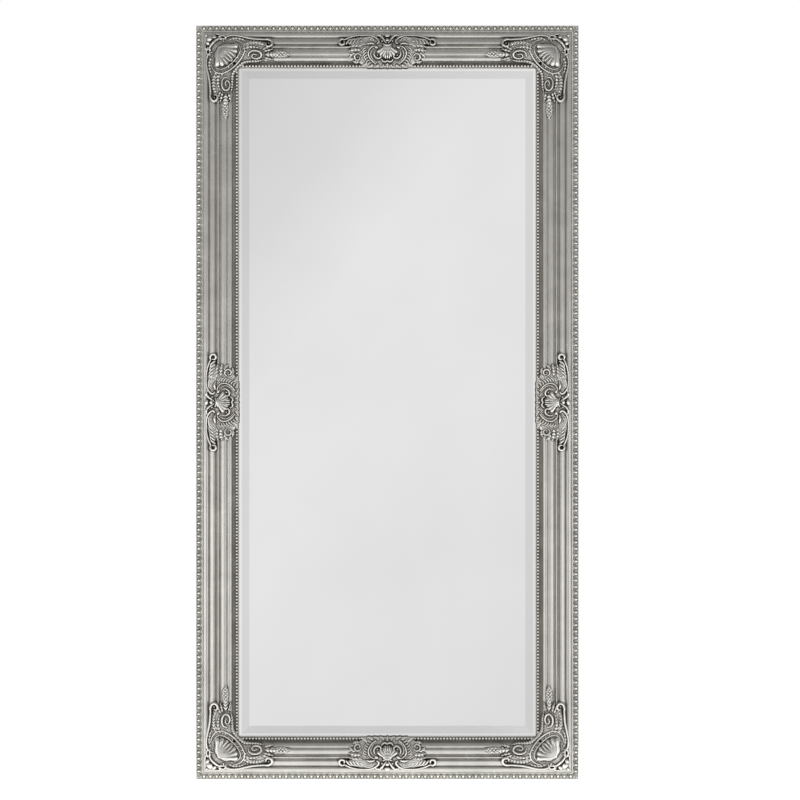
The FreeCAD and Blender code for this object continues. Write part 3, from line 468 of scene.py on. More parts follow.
def pearl():
    """A pearl's points, u, t and h in millimetres from its middle, and its faces."""
    angle = np.arange(PEARL_SIDES) * 2 * math.pi / PEARL_SIDES
    rise = np.linspace(-0.25, 1, PEARL_RINGS)[:-1] * math.pi / 2
    radius = PEARL_RADIUS * np.cos(rise)[:, None]
    u = np.append((radius * np.cos(angle)).ravel(), 0)
    t = np.append((radius * np.sin(angle)).ravel(), 0)
    h = np.append(np.repeat(PEARL_RADIUS * np.sin(rise), PEARL_SIDES), PEARL_RADIUS)

    def at(ring, k):
        return ring * PEARL_SIDES + k % PEARL_SIDES

    last = PEARL_RINGS - 2
    faces = [(at(ring, k), at(ring, k + 1), at(ring + 1, k + 1), at(ring + 1, k))
             for ring in range(last) for k in range(PEARL_SIDES)]
    faces += [(at(last, k), at(last, k + 1), len(u) - 1) for k in range(PEARL_SIDES)]
    return u, t, h, faces


def pearl_row(side, silver):
    """Turned pearls on the land beside the sight edge. The level rows have those in the corners."""
    inset = BAR_WIDE - PEARL_INSET
    half = side_length(side) / 2 - inset
    count = round(2 * half / PEARL_PITCH)
    owned = np.arange(0, count + 1) if side in LEVEL_SIDES else np.arange(1, count)
    places = -half + 2 * half * owned / count
    u, t, h, faces = pearl()
    points = on_side(side, places[:, None] + u, inset + t, PEARL_LAND_HIGH + PEARL_LIFT + h)
    faces = [tuple(start + i for i in face)
             for start in range(0, len(places) * len(u), len(u)) for face in faces]
    # Bright crowns are part wear and part painted highlight; the dark sides are part wax and part
    # painted shade
    depth = PEARL_WEAR_AND_HIGHLIGHT * np.clip(h / PEARL_RADIUS, 0, 1) ** PEARL_SIDE_SHADE_POWER
    return make_piece(f"{side}_pearls", points, faces, [silver],
                      [f"{side}_pearl_row"], BEAD_SHARP, np.tile(depth, len(places)))


# Ornaments

# Ground that the carving grows from: a smooth line over the moulding's hollows
GROUND_T = (15, 20, 28, 38, 48, 60, 70, 80, 88, 95)
GROUND_H = (21, 26.5, 29.5, 32.5, 36, 36, 33.5, 30, 27.5, 25.5)
# In millimetres: how far before the sight edge the carving starts to clear the glass and by how
# much, how deep its foot goes in to the moulding, and the least height that is kept
GLASS_MARGIN = 0.3
GLASS_CLEAR = 0.3
ROOT_DEPTH = 1.2
LEAST_SHOWN = 0.05

# The boards that the ornaments are modelled on, in millimetres, and the size of their cells
CARTOUCHE_HALF, CARTOUCHE_OUTER, CARTOUCHE_INNER = 118.0, 12.0, 99.0
CORNER_START, CORNER_END = 14.0, 220.0
RELIEF_CELL = 0.7


def carve_cartouche():
    """Balls in a bow over a ribbed shell, between bracket scrolls and two winged, leafy scrolls."""
    along = np.linspace(-CARTOUCHE_HALF, CARTOUCHE_HALF, int(2 * CARTOUCHE_HALF / RELIEF_CELL) | 1)
    r = Relief(*np.meshgrid(along, np.arange(CARTOUCHE_OUTER, CARTOUCHE_INNER, RELIEF_CELL)))
    r.patch([(-88, 38), (-70, 26), (-40, 24), (-18, 27), (0, 20), (18, 27), (40, 24), (70, 26),
             (88, 38), (81, 48), (82, 62), (74, 78), (60, 86), (50, 93), (30, 94.5), (0, 94.5),
             (-30, 94.5), (-50, 93), (-60, 86), (-74, 78), (-82, 62), (-81, 48)], 3.2, 4.0,
            cross=1.1, pitch=4.2, turn=52.0)

    def mirrored(form, points, *args, **options):
        for side in (-1, 1):
            form([(side * u, t, w) for u, t, w in points], *args, **options)

    def balls(u, t, *args):
        for side in (-1, 1):
            r.ball((side * u, t), *args)

    stems, leaves = partial(mirrored, r.stem), partial(mirrored, r.leaf)

    # Leaves that make the ragged ends, and strokes like feathers between them and the brackets
    for points, lobes in (([(56, 47, 2.5), (70, 46, 4.5), (85, 49, 1)], 4),
                          ([(58, 56, 2.5), (72, 56, 4.5), (86, 59, 1)], 4),
                          ([(70, 63, 2.5), (79, 67, 4), (84, 74, 1)], 3),
                          ([(62, 82, 2), (70, 82, 3.6), (77, 81, 1)], 3)):
        leaves(points, 3.4, lobes, 3.0, cut=0.35, vein=1.4)
    for index in range(7):
        u, t = 46.5 - 0.28 * index ** 2, 51 + 5.4 * index
        stems([(u, t, 1.0), (u + 5, t + 2.2, 1.6), (u + 8, t + 7.5, 1.0)], 2.4, 3.6, sink=0.8)
    # Leaves along the sight edge
    for points, lobes in (([(44, 84, 2.2), (50, 88.5, 4.0), (58, 92, 1)], 4),
                          ([(31, 87.5, 2.2), (36, 90.6, 3.4), (44, 93.4, 1)], 3),
                          ([(19, 87, 2), (22, 90.6, 3.2), (30, 93.8, 1)], 3),
                          ([(9, 86.5, 2), (9.5, 90.6, 3), (16, 94, 1)], 3)):
        leaves(points, 3.6, lobes, 3.0, cut=0.35, vein=1.2)
    r.leaf([(0, 84.5, 2), (0, 89.5, 3.4), (0, 94.2, 1)], 4.4, 3, 3.4, cut=0.3)
    # Small open volutes in the body
    stems([(58.5, 69, 1.2), (62.5, 65.2, 1.7), (68.5, 65.4, 2.0), (72.5, 70, 2.1), (71.5, 76, 2.0),
           (66, 78.8, 1.8), (61, 76, 1.4), (62.5, 71.6, 1.1)], 4.2, 4.0)
    balls(66, 72.6, 1.6, 2.6, 3.6)
    # Wings: a smooth leaf with nested veins, under a long scroll
    leaves([(20, 36, 4), (34, 34.5, 8.5), (52, 35.5, 10.5), (70, 38, 8.5), (90, 39, 2)], 4.4, 1,
           3.0, cut=0.0, vein=0.0)
    for index in range(5):
        u, t = 53 + 7.6 * index, 28 + 0.9 * index
        stems([(u - 6, t, 0.9), (u + 1, t + 2.6, 1.9), (u + 6, t + 8.4, 2.1),
               (u + 7.5, t + 15 - 0.8 * index, 1.0)], 3.2, 5.2, sink=1.6)
    for reach in (1.0, 1.8):
        stems([(43 - 8.5 * reach, 36.5, 1.0), (39 - 2 * reach, 36 - 3.8 * reach, 1.7),
               (46 + 2 * reach, 36 - 3.4 * reach, 1.8), (44 + 8.5 * reach, 39, 1.0)], 2.6, 6.0,
              sink=1.3)
    stems([(29, 43.2, 1.4), (37, 41.6, 2.8), (46, 43.4, 1.4)], 4.6, 6.4, sink=1.6)
    stems([(95, 33.6, 1.7), (90, 31, 1.8), (82, 27.6, 1.8), (72, 24.8, 1.8), (60, 23.2, 1.8),
           (46, 23.2, 1.9), (35, 24.6, 2.0), (26.5, 28.2, 2.3), (20.5, 33.6, 2.5), (19, 39.0, 2.4),
           (22.6, 41.8, 2.0)], 4.4, 5.0)
    stems([(96, 33.2, 1.9), (101, 32.2, 2.5), (106, 36, 2.8), (105.6, 42, 2.8), (100.4, 44.8, 2.7),
           (95.4, 42.2, 2.4), (95.6, 37.6, 1.8)], 5.4, 3.8)
    # Brackets on both sides of the shell
    stems([(27, 47.5, 1.2), (35, 50, 1.6), (41.5, 58, 1.8), (41.5, 68, 1.9), (36, 78, 1.9),
           (26, 86.5, 1.5)], 3.6, 4.4, sink=0.7)
    stems([(33, 56, 0.8), (36.4, 62, 1.0), (36, 70, 1.1), (31, 78, 1.0), (23, 84.5, 0.8)], 1.8, 4.8,
          sink=0.4)
    balls(24, 50.5, 3.2, 4.0, 4.2, 1.5, 25)
    # Shell, its curled ends and its tongue
    r.fan((0, 46), 90, 62, 3, 28, 7, 5.2, 4.4, rib=2.6, sharp=1.6)
    r.ball((0, 51), 8.0, 3.8, 7.0, 1.25, sink=0.0)
    stems([(28.6, 59, 1.2), (29.6, 66, 1.9), (25.6, 73, 2.3), (19, 75, 2.4), (14.2, 71.5, 2.0),
           (15.8, 66.6, 1.5)], 4.8, 4.8)
    balls(22, 68, 2.0, 3.2, 5.0)
    for u in (-4.2, 0, 4.2):
        r.stem([(u * 0.7, 63, 1.0), (u, 69, 1.7), (u * 1.1, 74.5, 1.7)], 3.0, 8.0, sink=1.2)
    r.stem([(-12.5, 77, 1.4), (-9.4, 81, 2.0), (-4.6, 82.2, 2.2), (0, 80, 1.8), (4.6, 82.2, 2.2),
            (9.4, 81, 2.0), (12.5, 77, 1.4)], 4.8, 5.4)
    # Bow with its balls
    stems([(2.5, 40.5, 1.6), (6.5, 35, 2.2), (11, 28.6, 2.6), (17, 23.8, 2.8), (23.5, 23.6, 2.2),
           (26, 26.4, 1.4)], 4.8, 4.6)
    balls(11.6, 36.2, 2.0, 3.2, 4.2, 1.5, 60)
    for side in (-1, 1):
        r.ball((18.5 * side, 23.2), 3.2, 5.6, 4.8, 1.7, 8 * side)
    r.stem([(-9.5, 43.2, 1.2), (-5, 45.6, 1.8), (0, 46.4, 2.1), (5, 45.6, 1.8), (9.5, 43.2, 1.2)],
           4.2, 8.0)
    r.ball((0, 34.4), 4.0, 5.8, 5.8, 1.2)
    r.ball((0, 23.4), 4.9, 7.0, 4.4, 1.4)
    return r


def carve_corner():
    """A shell across the mitre in a double ring, with a scrolled and leafed arm along each bar."""
    line = np.arange(CORNER_START, CORNER_END, RELIEF_CELL)
    r = Relief(*np.meshgrid(line, line))

    def mirrored(form, points, *args, **options):
        form(points, *args, **options)
        form([(p[1], p[0], *p[2:]) for p in points], *args, **options)

    stems, leaves, patches = (partial(mirrored, form) for form in (r.stem, r.leaf, r.patch))

    # Body of each arm, and the leaves in it
    patches([(27, 46), (25, 25), (46, 27), (62, 27), (80, 23), (106, 26.5), (132, 32), (152, 37),
             (160, 46), (167, 58), (165, 73), (150, 77), (128, 79), (112, 81), (97, 91), (60, 60)],
            3.2, 4.0, cross=1.1, pitch=4.2, turn=52.0)
    for points, lobes in (([(104, 46, 2.5), (120, 40, 5.0), (140, 40, 4.6), (156, 47, 1.2)], 8),
                          ([(104, 55, 2), (114, 50, 3.2), (130, 50, 3.2), (146, 54, 1)], 6),
                          ([(72, 35, 2), (84, 30, 3.6), (100, 31, 3.2), (112, 37, 1)], 6)):
        leaves(points, 3.0, lobes, 3.2, cut=0.25, vein=1.6)
    # Lattice bud at the arm's tip, and the leaves at its root
    patches([(166, 61), (176, 59), (188, 57.5), (199, 59), (211, 66), (199, 73), (188, 74.5),
             (176, 73), (166, 73)], 6.2, 5.0, cross=3.4, pitch=5.6, turn=40.0)
    leaves([(154, 67, 3.5), (164, 66.5, 5.5), (174, 66, 4.4), (184, 66, 1.2)], 4.4, 4, 4.6,
           cut=0.45, vein=1.6)
    for points in ([(148, 56, 2.2), (158, 51, 3.2), (167, 47, 1)],
                   [(150, 60, 2.2), (162, 57, 3.2), (172, 54, 1)],
                   [(152, 73, 2.2), (162, 75.5, 3.0), (173, 78, 1)]):
        leaves(points, 3.8, 3, 3.8, cut=0.3, vein=1.2)
    # Toothed leaf that runs in to the sight corner
    leaves([(90, 95, 1.4), (98, 88.5, 3.0), (108, 82.5, 3.4), (122, 80.6, 2.8), (138, 80.2, 2.4),
            (152, 77, 1)], 4.4, 11, 3.4, cut=0.5, sweep=0.6, vein=1.2)
    # Oval scroll that winds in on itself
    stems([(116.5, 70, 1.4), (119, 62.5, 1.9), (127, 58.4, 2.3), (138, 59.2, 2.5), (145.5, 65, 2.5),
           (143.5, 72.4, 2.4), (135, 75.6, 2.2), (127, 74, 1.9), (124.5, 69.5, 1.6),
           (129, 65.8, 1.6), (136, 67.6, 1.3)], 4.2, 4.6, sink=0.9)
    # Long scroll along the outer edge, with an open curl at its end
    stems([(61, 37, 1.5), (64, 30, 2.0), (72, 25, 2.3), (84, 23.2, 2.4), (98, 24.8, 2.4),
           (112, 28.2, 2.5), (126, 31, 2.5), (140, 32.2, 2.4), (153, 33, 2.2)], 5.0, 4.4)
    stems([(151, 33, 2.0), (160, 32.6, 2.8), (168, 36.6, 3.2), (169, 44, 3.2), (162.4, 48.8, 2.9),
           (156.2, 46, 2.4), (156, 41, 1.7)], 6.4, 4.0, sink=1.6)
    for place in ((162, 41), (41, 162)):
        r.ball(place, 2.0, 4.0, 3.6)
    # Double ring round the shell, open towards the outer corner
    stems([(84, 33, 1.0), (96, 36.6, 1.3), (106, 45.5, 1.6), (108.6, 58, 1.7), (103, 71.5, 1.8),
           (94.6, 83, 1.9), (89.5, 88.5, 1.9)], 2.6, 4.6, sink=0.6)
    stems([(86, 40, 0.9), (95.5, 45.5, 1.1), (99.5, 55, 1.2), (96, 66, 1.3), (88.5, 76, 1.3),
           (82.6, 82.2, 1.3)], 2.0, 5.0, sink=0.5)
    # Short veins that fan out between the ring and the arm's scrolls
    for index in range(6):
        aside = 7.0 * index
        stems([(112 - 0.02 * aside ** 2, 46 + aside, 1.0),
               (117 - 0.03 * aside ** 2, 45 + 1.02 * aside, 1.5),
               (121 - 0.05 * aside ** 2, 41.5 + 1.1 * aside, 0.9)], 2.2, 3.6, sink=0.9)
    # Shell: a smooth dome with a few folds and a scalloped rim
    r.fan((50, 50), 45, 56, 0, 44, 7, 7.0, 4.2, rib=2.4, roll=0.22, sharp=2.2)
    r.ball((62.5, 62.5), 17, 7.6, 4.8, 1.45, -45, sink=0.0)
    for aside in (-7.5, -2.5, 2.5, 7.5):
        r.stem([(65 + 0.8 * aside, 65 - 0.8 * aside, 1.0), (71 + aside, 71 - aside, 2.2),
                (77.5 + aside, 77.5 - aside, 2.0)], 2.6, 10.4 - 0.012 * aside ** 2, sink=1.4)
    # Collar behind the shell, loops at its ends, and the leafed crest outside it
    r.stem([(31, 62, 1.8), (31.5, 50, 2.6), (39.5, 39.5, 3.2), (50, 31.5, 2.6), (62, 31, 1.8)], 5.4,
           4.4, sink=1.6)
    stems([(67, 34, 1.2), (66.6, 27.6, 1.7), (61.6, 23.6, 2.0), (55.6, 24.6, 2.1),
           (53.4, 29.6, 1.9), (57, 33.4, 1.5)], 4.2, 4.2)
    stems([(50, 27, 1.6), (54, 24.5, 2.2), (51.5, 20.8, 2.2), (45, 20.6, 2.0)], 4.6, 4.0, sink=1.6)
    for place, turn in (((26.5, 40.5), 70), ((40.5, 26.5), 20)):
        r.ball(place, 4.6, 6.0, 3.6, 1.35, turn, sink=2.0)
    r.ball((31, 31), 6.6, 7.0, 3.6, 1.2, -45, sink=2.2)
    r.ball((23.2, 23.2), 3.2, 4.6, 3.4, 1.3, 45, sink=1.8)
    return r


def relief_mesh(relief, inset):
    """The shown part of a relief: heights, quads and cavity of its grid."""
    rail = rail_top(inset)
    height = np.interp(inset, GROUND_T, GROUND_H) + relief.over
    over_glass = inset > BAR_WIDE - GLASS_MARGIN
    floor = np.where(over_glass, GLASS_FRONT / MM + GLASS_CLEAR, rail - ROOT_DEPTH)
    shown = height > floor + LEAST_SHOWN
    depth = cavity_of(np.maximum(height, rail), RELIEF_CELL)
    keep = shown[:-1, :-1] | shown[1:, :-1] | shown[1:, 1:] | shown[:-1, 1:]
    return np.maximum(height, floor), grid_faces(*height.shape, keep), depth


def casting(name, node, points, quads, depth, silver):
    """One ornament of the frame."""
    points, faces, depth = compact(points.reshape(-1, 3), quads, depth.ravel())
    return make_piece(name, points, faces, [silver], [node], CARVED_SHARP, depth)


def ornaments(silver):
    """The same two castings, four times each, in the silver of their side."""
    relief = carve_cartouche()
    height, quads, depth = relief_mesh(relief, relief.y)
    for side in SIDE_TURNS:
        casting(f"{side}_carved_cartouche", f"{side}_cartouche",
                on_side(side, relief.x, relief.y, height), quads, depth, silver[side])
    relief = carve_corner()
    height, quads, depth = relief_mesh(relief, np.minimum(relief.x, relief.y))
    for corner in CORNER_TURNS:
        casting(f"{corner}_carved_corner", f"{corner}_corner",
                on_corner(corner, relief.x, relief.y, height), quads, depth,
                silver[corner.split("_")[0]])


# Materials

class Nodes:
    """Short ways to add shader nodes to a material or a world."""

    def __init__(self, owner):
        owner.use_nodes = True
        self.tree = owner.node_tree
        self.shader = self.tree.nodes.get("Principled BSDF")

    def add(self, kind, values=None, **settings):
        node = self.tree.nodes.new(kind)
        for name, value in settings.items():
            setattr(node, name, value)
        for name, value in (values or {}).items():
            node.inputs[name].default_value = value
        return node

    def link(self, source, target):
        self.tree.links.new(source, target)

    def put(self, socket, value):
        """Sets a socket to a number or a colour, or links a source to it."""
        if isinstance(value, bpy.types.NodeSocket):
            self.link(value, socket)
        else:
            socket.default_value = (*value, 1) if isinstance(value, tuple) else value

    def feed(self, name, value):
        """Sets or links a socket of the shader."""
        self.put(self.shader.inputs[name], value)

    def noise(self, where, scale, detail=4.0, rough=0.55, stretch=None):
        if stretch:
            shifted = self.add("ShaderNodeMapping", {"Scale": stretch})
            self.link(where, shifted.inputs["Vector"])
            where = shifted.outputs["Vector"]
        node = self.add("ShaderNodeTexNoise", {"Scale": scale, "Detail": detail,
                                               "Roughness": rough})
        self.link(where, node.inputs["Vector"])
        return node.outputs["Fac"]

    def ramp(self, source, stops, color=False):
        node = self.add("ShaderNodeValToRGB")
        while len(node.color_ramp.elements) < len(stops):
            node.color_ramp.elements.new(0.5)
        for element, (place, value) in zip(node.color_ramp.elements, stops):
            element.position = place
            element.color = (*value, 1) if color else (value, value, value, 1)
        self.link(source, node.inputs["Fac"])
        return node.outputs["Color"]

    def math(self, how, a, b=0.0):
        node = self.add("ShaderNodeMath", operation=how)
        self.put(node.inputs[0], a)
        self.put(node.inputs[1], b)
        return node.outputs["Value"]

    def plus(self, a, b):
        return self.math("ADD", a, b)

    def minus(self, a, b):
        return self.math("SUBTRACT", a, b)

    def times(self, a, b):
        return self.math("MULTIPLY", a, b)

    def swing(self, source, span):
        """How far a source of 0 to 1 lies from its middle, times a span."""
        return self.times(self.minus(source, 0.5), span)

    def mix(self, share, a, b):
        node = self.add("ShaderNodeMix", data_type="RGBA")
        for name, value in (("Factor", share), (6, a), (7, b)):
            self.put(node.inputs[name], value)
        return node.outputs[2]

    def bump(self, height, strength, distance):
        node = self.add("ShaderNodeBump", {"Strength": strength, "Distance": distance})
        self.link(height, node.inputs["Height"])
        self.feed("Normal", node.outputs["Normal"])


def new_material(name):
    """A material, its nodes, and the places on the object that its textures go by."""
    material = bpy.data.materials.new(name)
    n = Nodes(material)
    return material, n, n.add("ShaderNodeTexCoord").outputs["Object"]


def scaled(tone, share):
    """A colour with all its channels in one proportion."""
    return tuple(share * channel for channel in tone)


# Each kind of silver: its tone, the tone of its wax, the roughness of its leaf, and its grime. The
# level bars' silver is painted lighter and their wax darker than the uprights', as painted light
# and shade for how the light falls across them
SILVERS = {
    "level": ((0.62, 0.605, 0.572), (0.1, 0.09, 0.074), 0.27, 0.12),
    "upright": ((0.542, 0.529, 0.5), (0.22, 0.202, 0.174), 0.32, 0.12),
    "bead": ((0.56, 0.553, 0.515), (0.12, 0.111, 0.092), 0.34, 0.2),
    "carved": ((0.54, 0.528, 0.5), (0.095, 0.083, 0.066), 0.28, 0.25),
}
# Silver and wax of the ornaments on each side, as parts of the carved silver's tones: painted light
# and shade, the top ones darker and the side ones' wax lighter for how the light falls on each side
CARVED_SIDE_SHADING = {"top": (0.85, 1.0), "right": (0.99, 1.35), "bottom": (1.02, 1.0),
               "left": (0.99, 1.35)}
# Silver of the upright bars, the right one a shade darker as painted shade
UPRIGHT_SHADING = {"left": 1.0, "right": 0.955}
# How far the painted shadow round the ornaments' feet reaches on the moulding, in metres
FOOT_SHADOW_REACH = 0.009


def silver_leaf(name, kind, painted_tone_share=1.0, painted_wax_share=1.0, foot=0.0):
    """Aged silver leaf: bright where it is rubbed, partly wear and partly a painted highlight,
    brown-black where wax has settled, and with a foot reach a painted shadow round the ornaments'
    feet.
    """
    silver, patina, shine, grime = SILVERS[kind]
    # A side's copy is painted lighter or darker here, as painted light and shade
    silver, patina = scaled(silver, painted_tone_share), scaled(patina, painted_wax_share)
    material, n, where = new_material(name)
    cavity = n.add("ShaderNodeAttribute", attribute_name="cavity").outputs["Fac"]
    cloud = n.noise(where, 26, 5)
    fine = n.noise(where, 420, 4, 0.65)
    speck = n.noise(where, 900, 2, 0.5)
    uneven = n.plus(n.plus(cavity, n.swing(fine, 0.22)), n.swing(cloud, 0.16))
    settled = n.ramp(uneven, [(0.18, 1.0), (0.36, 0.72), (0.47, grime), (0.62, 0.0)])
    # Crests get bright bare silver: rubbed wear, and a painted highlight too
    rubbed_and_highlit = n.ramp(uneven, [(0.56, 0.0), (0.8, 1.0)])
    tone = n.ramp(cloud, [(0.3, scaled(silver, 0.86)), (0.7, silver)], color=True)
    bright = n.mix(rubbed_and_highlit, tone, scaled(silver, 1.48))
    flecks = n.ramp(speck, [(0.68, 0.0), (0.76, 0.55)])
    dirt_and_painted_shade = n.math("MAXIMUM", settled, n.times(flecks, 0.6))
    if foot:
        # Painted shadow: the colour darkens where the ornaments stand close over the moulding
        painted_foot_shadow = n.add("ShaderNodeAmbientOcclusion", {"Distance": foot}, samples=12)
        dirt_and_painted_shade = n.math("MAXIMUM", dirt_and_painted_shade, n.ramp(painted_foot_shadow.outputs["AO"], [(0.36, 1.0), (0.64, 0.0)]))
    deep = n.ramp(uneven, [(0.14, 1.0), (0.26, 0.0)])
    wax = n.mix(deep, patina, scaled(patina, 0.4))
    n.feed("Base Color", n.mix(dirt_and_painted_shade, bright, wax))
    n.feed("Metallic", n.ramp(dirt_and_painted_shade, [(0.0, 1.0), (1.0, 0.35)]))
    rough = n.ramp(dirt_and_painted_shade, [(0.0, shine), (1.0, 0.68)])
    n.feed("Roughness", n.plus(rough, n.swing(cloud, 0.14)))
    n.bump(n.plus(fine, n.times(cloud, 0.6)), 0.22, 0.0004)
    return material


def bare_wood(name, level):
    """Planed softwood, its grain along a level or an upright bar."""
    material, n, where = new_material(name)
    grain = n.noise(where, 14, 6, 0.6, (1.2, 22, 22) if level else (22, 22, 1.2))
    fibre = n.noise(where, 60, 4, 0.6, (1.0, 20, 20) if level else (20, 20, 1.0))
    n.feed("Base Color", n.ramp(grain, [(0.3, (0.36, 0.22, 0.115)), (0.52, (0.56, 0.38, 0.21)),
                                        (0.7, (0.64, 0.46, 0.28))], color=True))
    n.feed("Roughness", n.ramp(fibre, [(0.3, 0.55), (0.7, 0.78)]))
    n.bump(n.plus(grain, n.times(fibre, 0.5)), 0.3, 0.0006)
    return material


def hardboard(name):
    """Pressed brown board with short fibres."""
    material, n, where = new_material(name)
    fibre = n.noise(where, 260, 6, 0.7)
    cloud = n.noise(where, 9, 4)
    shade = n.plus(n.times(fibre, 0.7), n.times(cloud, 0.3))
    n.feed("Base Color", n.ramp(shade, [(0.34, (0.12, 0.066, 0.034)), (0.5, (0.2, 0.118, 0.062)),
                                        (0.66, (0.29, 0.185, 0.105))], color=True))
    n.feed("Roughness", n.ramp(fibre, [(0.3, 0.62), (0.7, 0.85)]))
    n.bump(fibre, 0.35, 0.0005)
    return material


def zinc(name):
    """Zinc-plated steel, slightly clouded."""
    material, n, where = new_material(name)
    cloud = n.noise(where, 120, 4)
    drawn = n.noise(where, 90, 4, 0.6, (1, 1, 26))
    n.feed("Base Color", n.ramp(cloud, [(0.3, (0.42, 0.42, 0.4)), (0.7, (0.6, 0.6, 0.59))],
                                color=True))
    n.feed("Roughness", n.ramp(drawn, [(0.3, 0.28), (0.7, 0.46)]))
    n.feed("Metallic", 1.0)
    n.bump(drawn, 0.12, 0.0002)
    return material


def rubber(name):
    """Matt black rubber with a dusty bloom."""
    material, n, where = new_material(name)
    bloom = n.noise(where, 240, 4)
    n.feed("Base Color", n.ramp(bloom, [(0.35, (0.018, 0.018, 0.019)),
                                        (0.7, (0.055, 0.054, 0.052))], color=True))
    n.feed("Roughness", n.ramp(bloom, [(0.3, 0.6), (0.7, 0.82)]))
    n.bump(bloom, 0.2, 0.0002)
    return material


def backing_paint(name):
    """The grey paint that seals the back of silvered glass."""
    material, n, where = new_material(name)
    cloud = n.noise(where, 40, 5)
    n.feed("Base Color", n.ramp(cloud, [(0.3, (0.14, 0.15, 0.15)), (0.7, (0.2, 0.21, 0.21))],
                                color=True))
    n.feed("Roughness", n.ramp(cloud, [(0.3, 0.45), (0.7, 0.6)]))
    return material


def mirror(name):
    """Silvered float glass, with a faint haze."""
    material, n, where = new_material(name)
    haze = n.noise(where, 3.0, 3)
    n.feed("Base Color", n.ramp(haze, [(0.35, (0.8, 0.806, 0.8)), (0.65, (0.83, 0.836, 0.832))],
                                color=True))
    n.feed("Metallic", 1.0)
    n.feed("Roughness", 0.0)
    return material


# Plate and hardware

# Steps of the plate's ground edge and bevel in millimetres: in from its edge, back from its face
BEVEL_STEPS = [(0.0, 1.9), (0.4, 1.46), (13.0, 1.27), (30.0, 0.0)]


def mirror_plate(silvered, paint):
    """The plate: a flat field, a wide bevel and a ground edge, painted at its edge and back."""
    low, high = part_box("mirror_glass")
    points = []
    for inset, drop in [(0.0, (high.y - low.y) / MM), *BEVEL_STEPS]:
        x0, x1 = low.x + inset * MM, high.x - inset * MM
        z0, z1 = low.z + inset * MM, high.z - inset * MM
        y = low.y + drop * MM
        points += [(x0, y, z0), (x1, y, z0), (x1, y, z1), (x0, y, z1)]
    last = len(points) - 4
    faces = [(start + k, start + (k + 1) % 4, start + 4 + (k + 1) % 4, start + 4 + k)
             for start in range(0, last, 4) for k in range(4)]
    faces += [tuple(range(last, last + 4)), (3, 2, 1, 0)]
    painted = [1] * 4 + [0] * (len(faces) - 5) + [1]
    return make_piece("bevelled_plate", points, faces, [silvered, paint],
                      ["mirror_glass"], PLATE_SHARP, face_material=painted)


def dress(name, material):
    """Gives a carried-over CAD node its material."""
    mesh = nodes[name].data
    mesh.materials.clear()
    mesh.materials.append(material)


def dress_hardware():
    """Materials of the nodes that no piece replaces: board, soft blocks and bumpers, and steel."""
    board, steel, black = hardboard("backing"), zinc("zinc_plate"), rubber("black_rubber")
    for name in nodes:
        if name == "backing_board":
            dress(name, board)
        elif name in ("wall_bumpers", "glass_setting_blocks"):
            dress(name, black)
        elif any(word in name for word in ("hanger", "screws", "nails", "tabs", "plate")):
            dress(name, steel)


# Studio

# Half sizes of the floor, and of the oval where it has faded out, in metres
FLOOR_HALF = (2.6, 1.7)
FLOOR_FADE = (1.6, 0.95)
# Soft boxes: place, height of the aim as a share of the mirror's, width and height, and power
LAMPS = {
    "key": ((0.3, -2.6, 3.4), 0.5, (3.0, 1.4), 50),
    "left_low": ((-1.9, -1.9, 0.35), 0.3, (1.8, 1.0), 10),
    "right_low": ((1.9, -1.9, 0.35), 0.3, (1.8, 1.0), 9),
    "back": ((0.6, 3.0, 2.4), 0.5, (2.4, 1.6), 60),
}
LOW_BOXES = ("left_low", "right_low")
# Camera in metres: how far off it is, how wide it sees there, and where it stands off the middle
CAMERA_FAR = 7.0
VIEW_WIDE = 1.7714
CAMERA_ASIDE = 0.0281
CAMERA_RAISED = 0.0051
CAMERA_END = 60
SENSOR_WIDE = 36


def stage():
    """A pale floor round the object that fades out into the white room and keeps its shadow."""
    wide, deep = FLOOR_HALF
    points = [(-wide, -deep, 0.0), (wide, -deep, 0.0), (wide, deep, 0.0), (-wide, deep, 0.0)]
    mesh = bpy.data.meshes.new("floor")
    mesh.from_pydata(points, [], [(0, 1, 2, 3)])
    floor = bpy.data.objects.new("floor", mesh)
    bpy.context.scene.collection.objects.link(floor)
    material, n, where = new_material("white_floor")
    spot = n.add("ShaderNodeSeparateXYZ")
    n.link(where, spot.inputs["Vector"])
    across = n.math("DIVIDE", spot.outputs["X"], FLOOR_FADE[0])
    along = n.math("DIVIDE", spot.outputs["Y"], FLOOR_FADE[1])
    far = n.math("SQRT", n.plus(n.times(across, across), n.times(along, along)))
    n.feed("Alpha", n.ramp(far, [(0.5, 1.0), (0.95, 0.0)]))
    # The frame mirrors a floor that is bright beside it, and the plate a dim one
    path = n.add("ShaderNodeLightPath")
    near = n.ramp(n.math("ABSOLUTE", along), [(0.14, 0.85), (0.4, 0.05)])
    near = n.mix(path.outputs["Is Singular Ray"], near, (0.03, 0.03, 0.03))
    seen = n.math("MAXIMUM", n.times(path.outputs["Is Camera Ray"], 0.5),
                  n.times(path.outputs["Is Glossy Ray"], near))
    through = n.times(path.outputs["Is Transmission Ray"], 0.5)
    n.feed("Emission Strength", n.math("MAXIMUM", seen, through))
    n.feed("Base Color", (0.8, 0.8, 0.8))
    n.feed("Roughness", 0.9)
    n.feed("Specular IOR Level", 0.1)
    n.feed("Emission Color", (1, 1, 1))
    mesh.materials.append(material)


def soft_boxes():
    """Lamps, of which only the two low ones show in the metal."""
    for name, (place, aim, size, power) in LAMPS.items():
        data = bpy.data.lights.new(name, "AREA")
        data.shape = "RECTANGLE"
        data.size, data.size_y = size
        data.energy = power
        made = bpy.data.objects.new(name, data)
        made.location = place
        facing = Vector((0, 0, aim * HIGH)) - Vector(place)
        made.rotation_euler = facing.to_track_quat("-Z", "Y").to_euler()
        made.visible_glossy = name in LOW_BOXES
        bpy.context.scene.collection.objects.link(made)


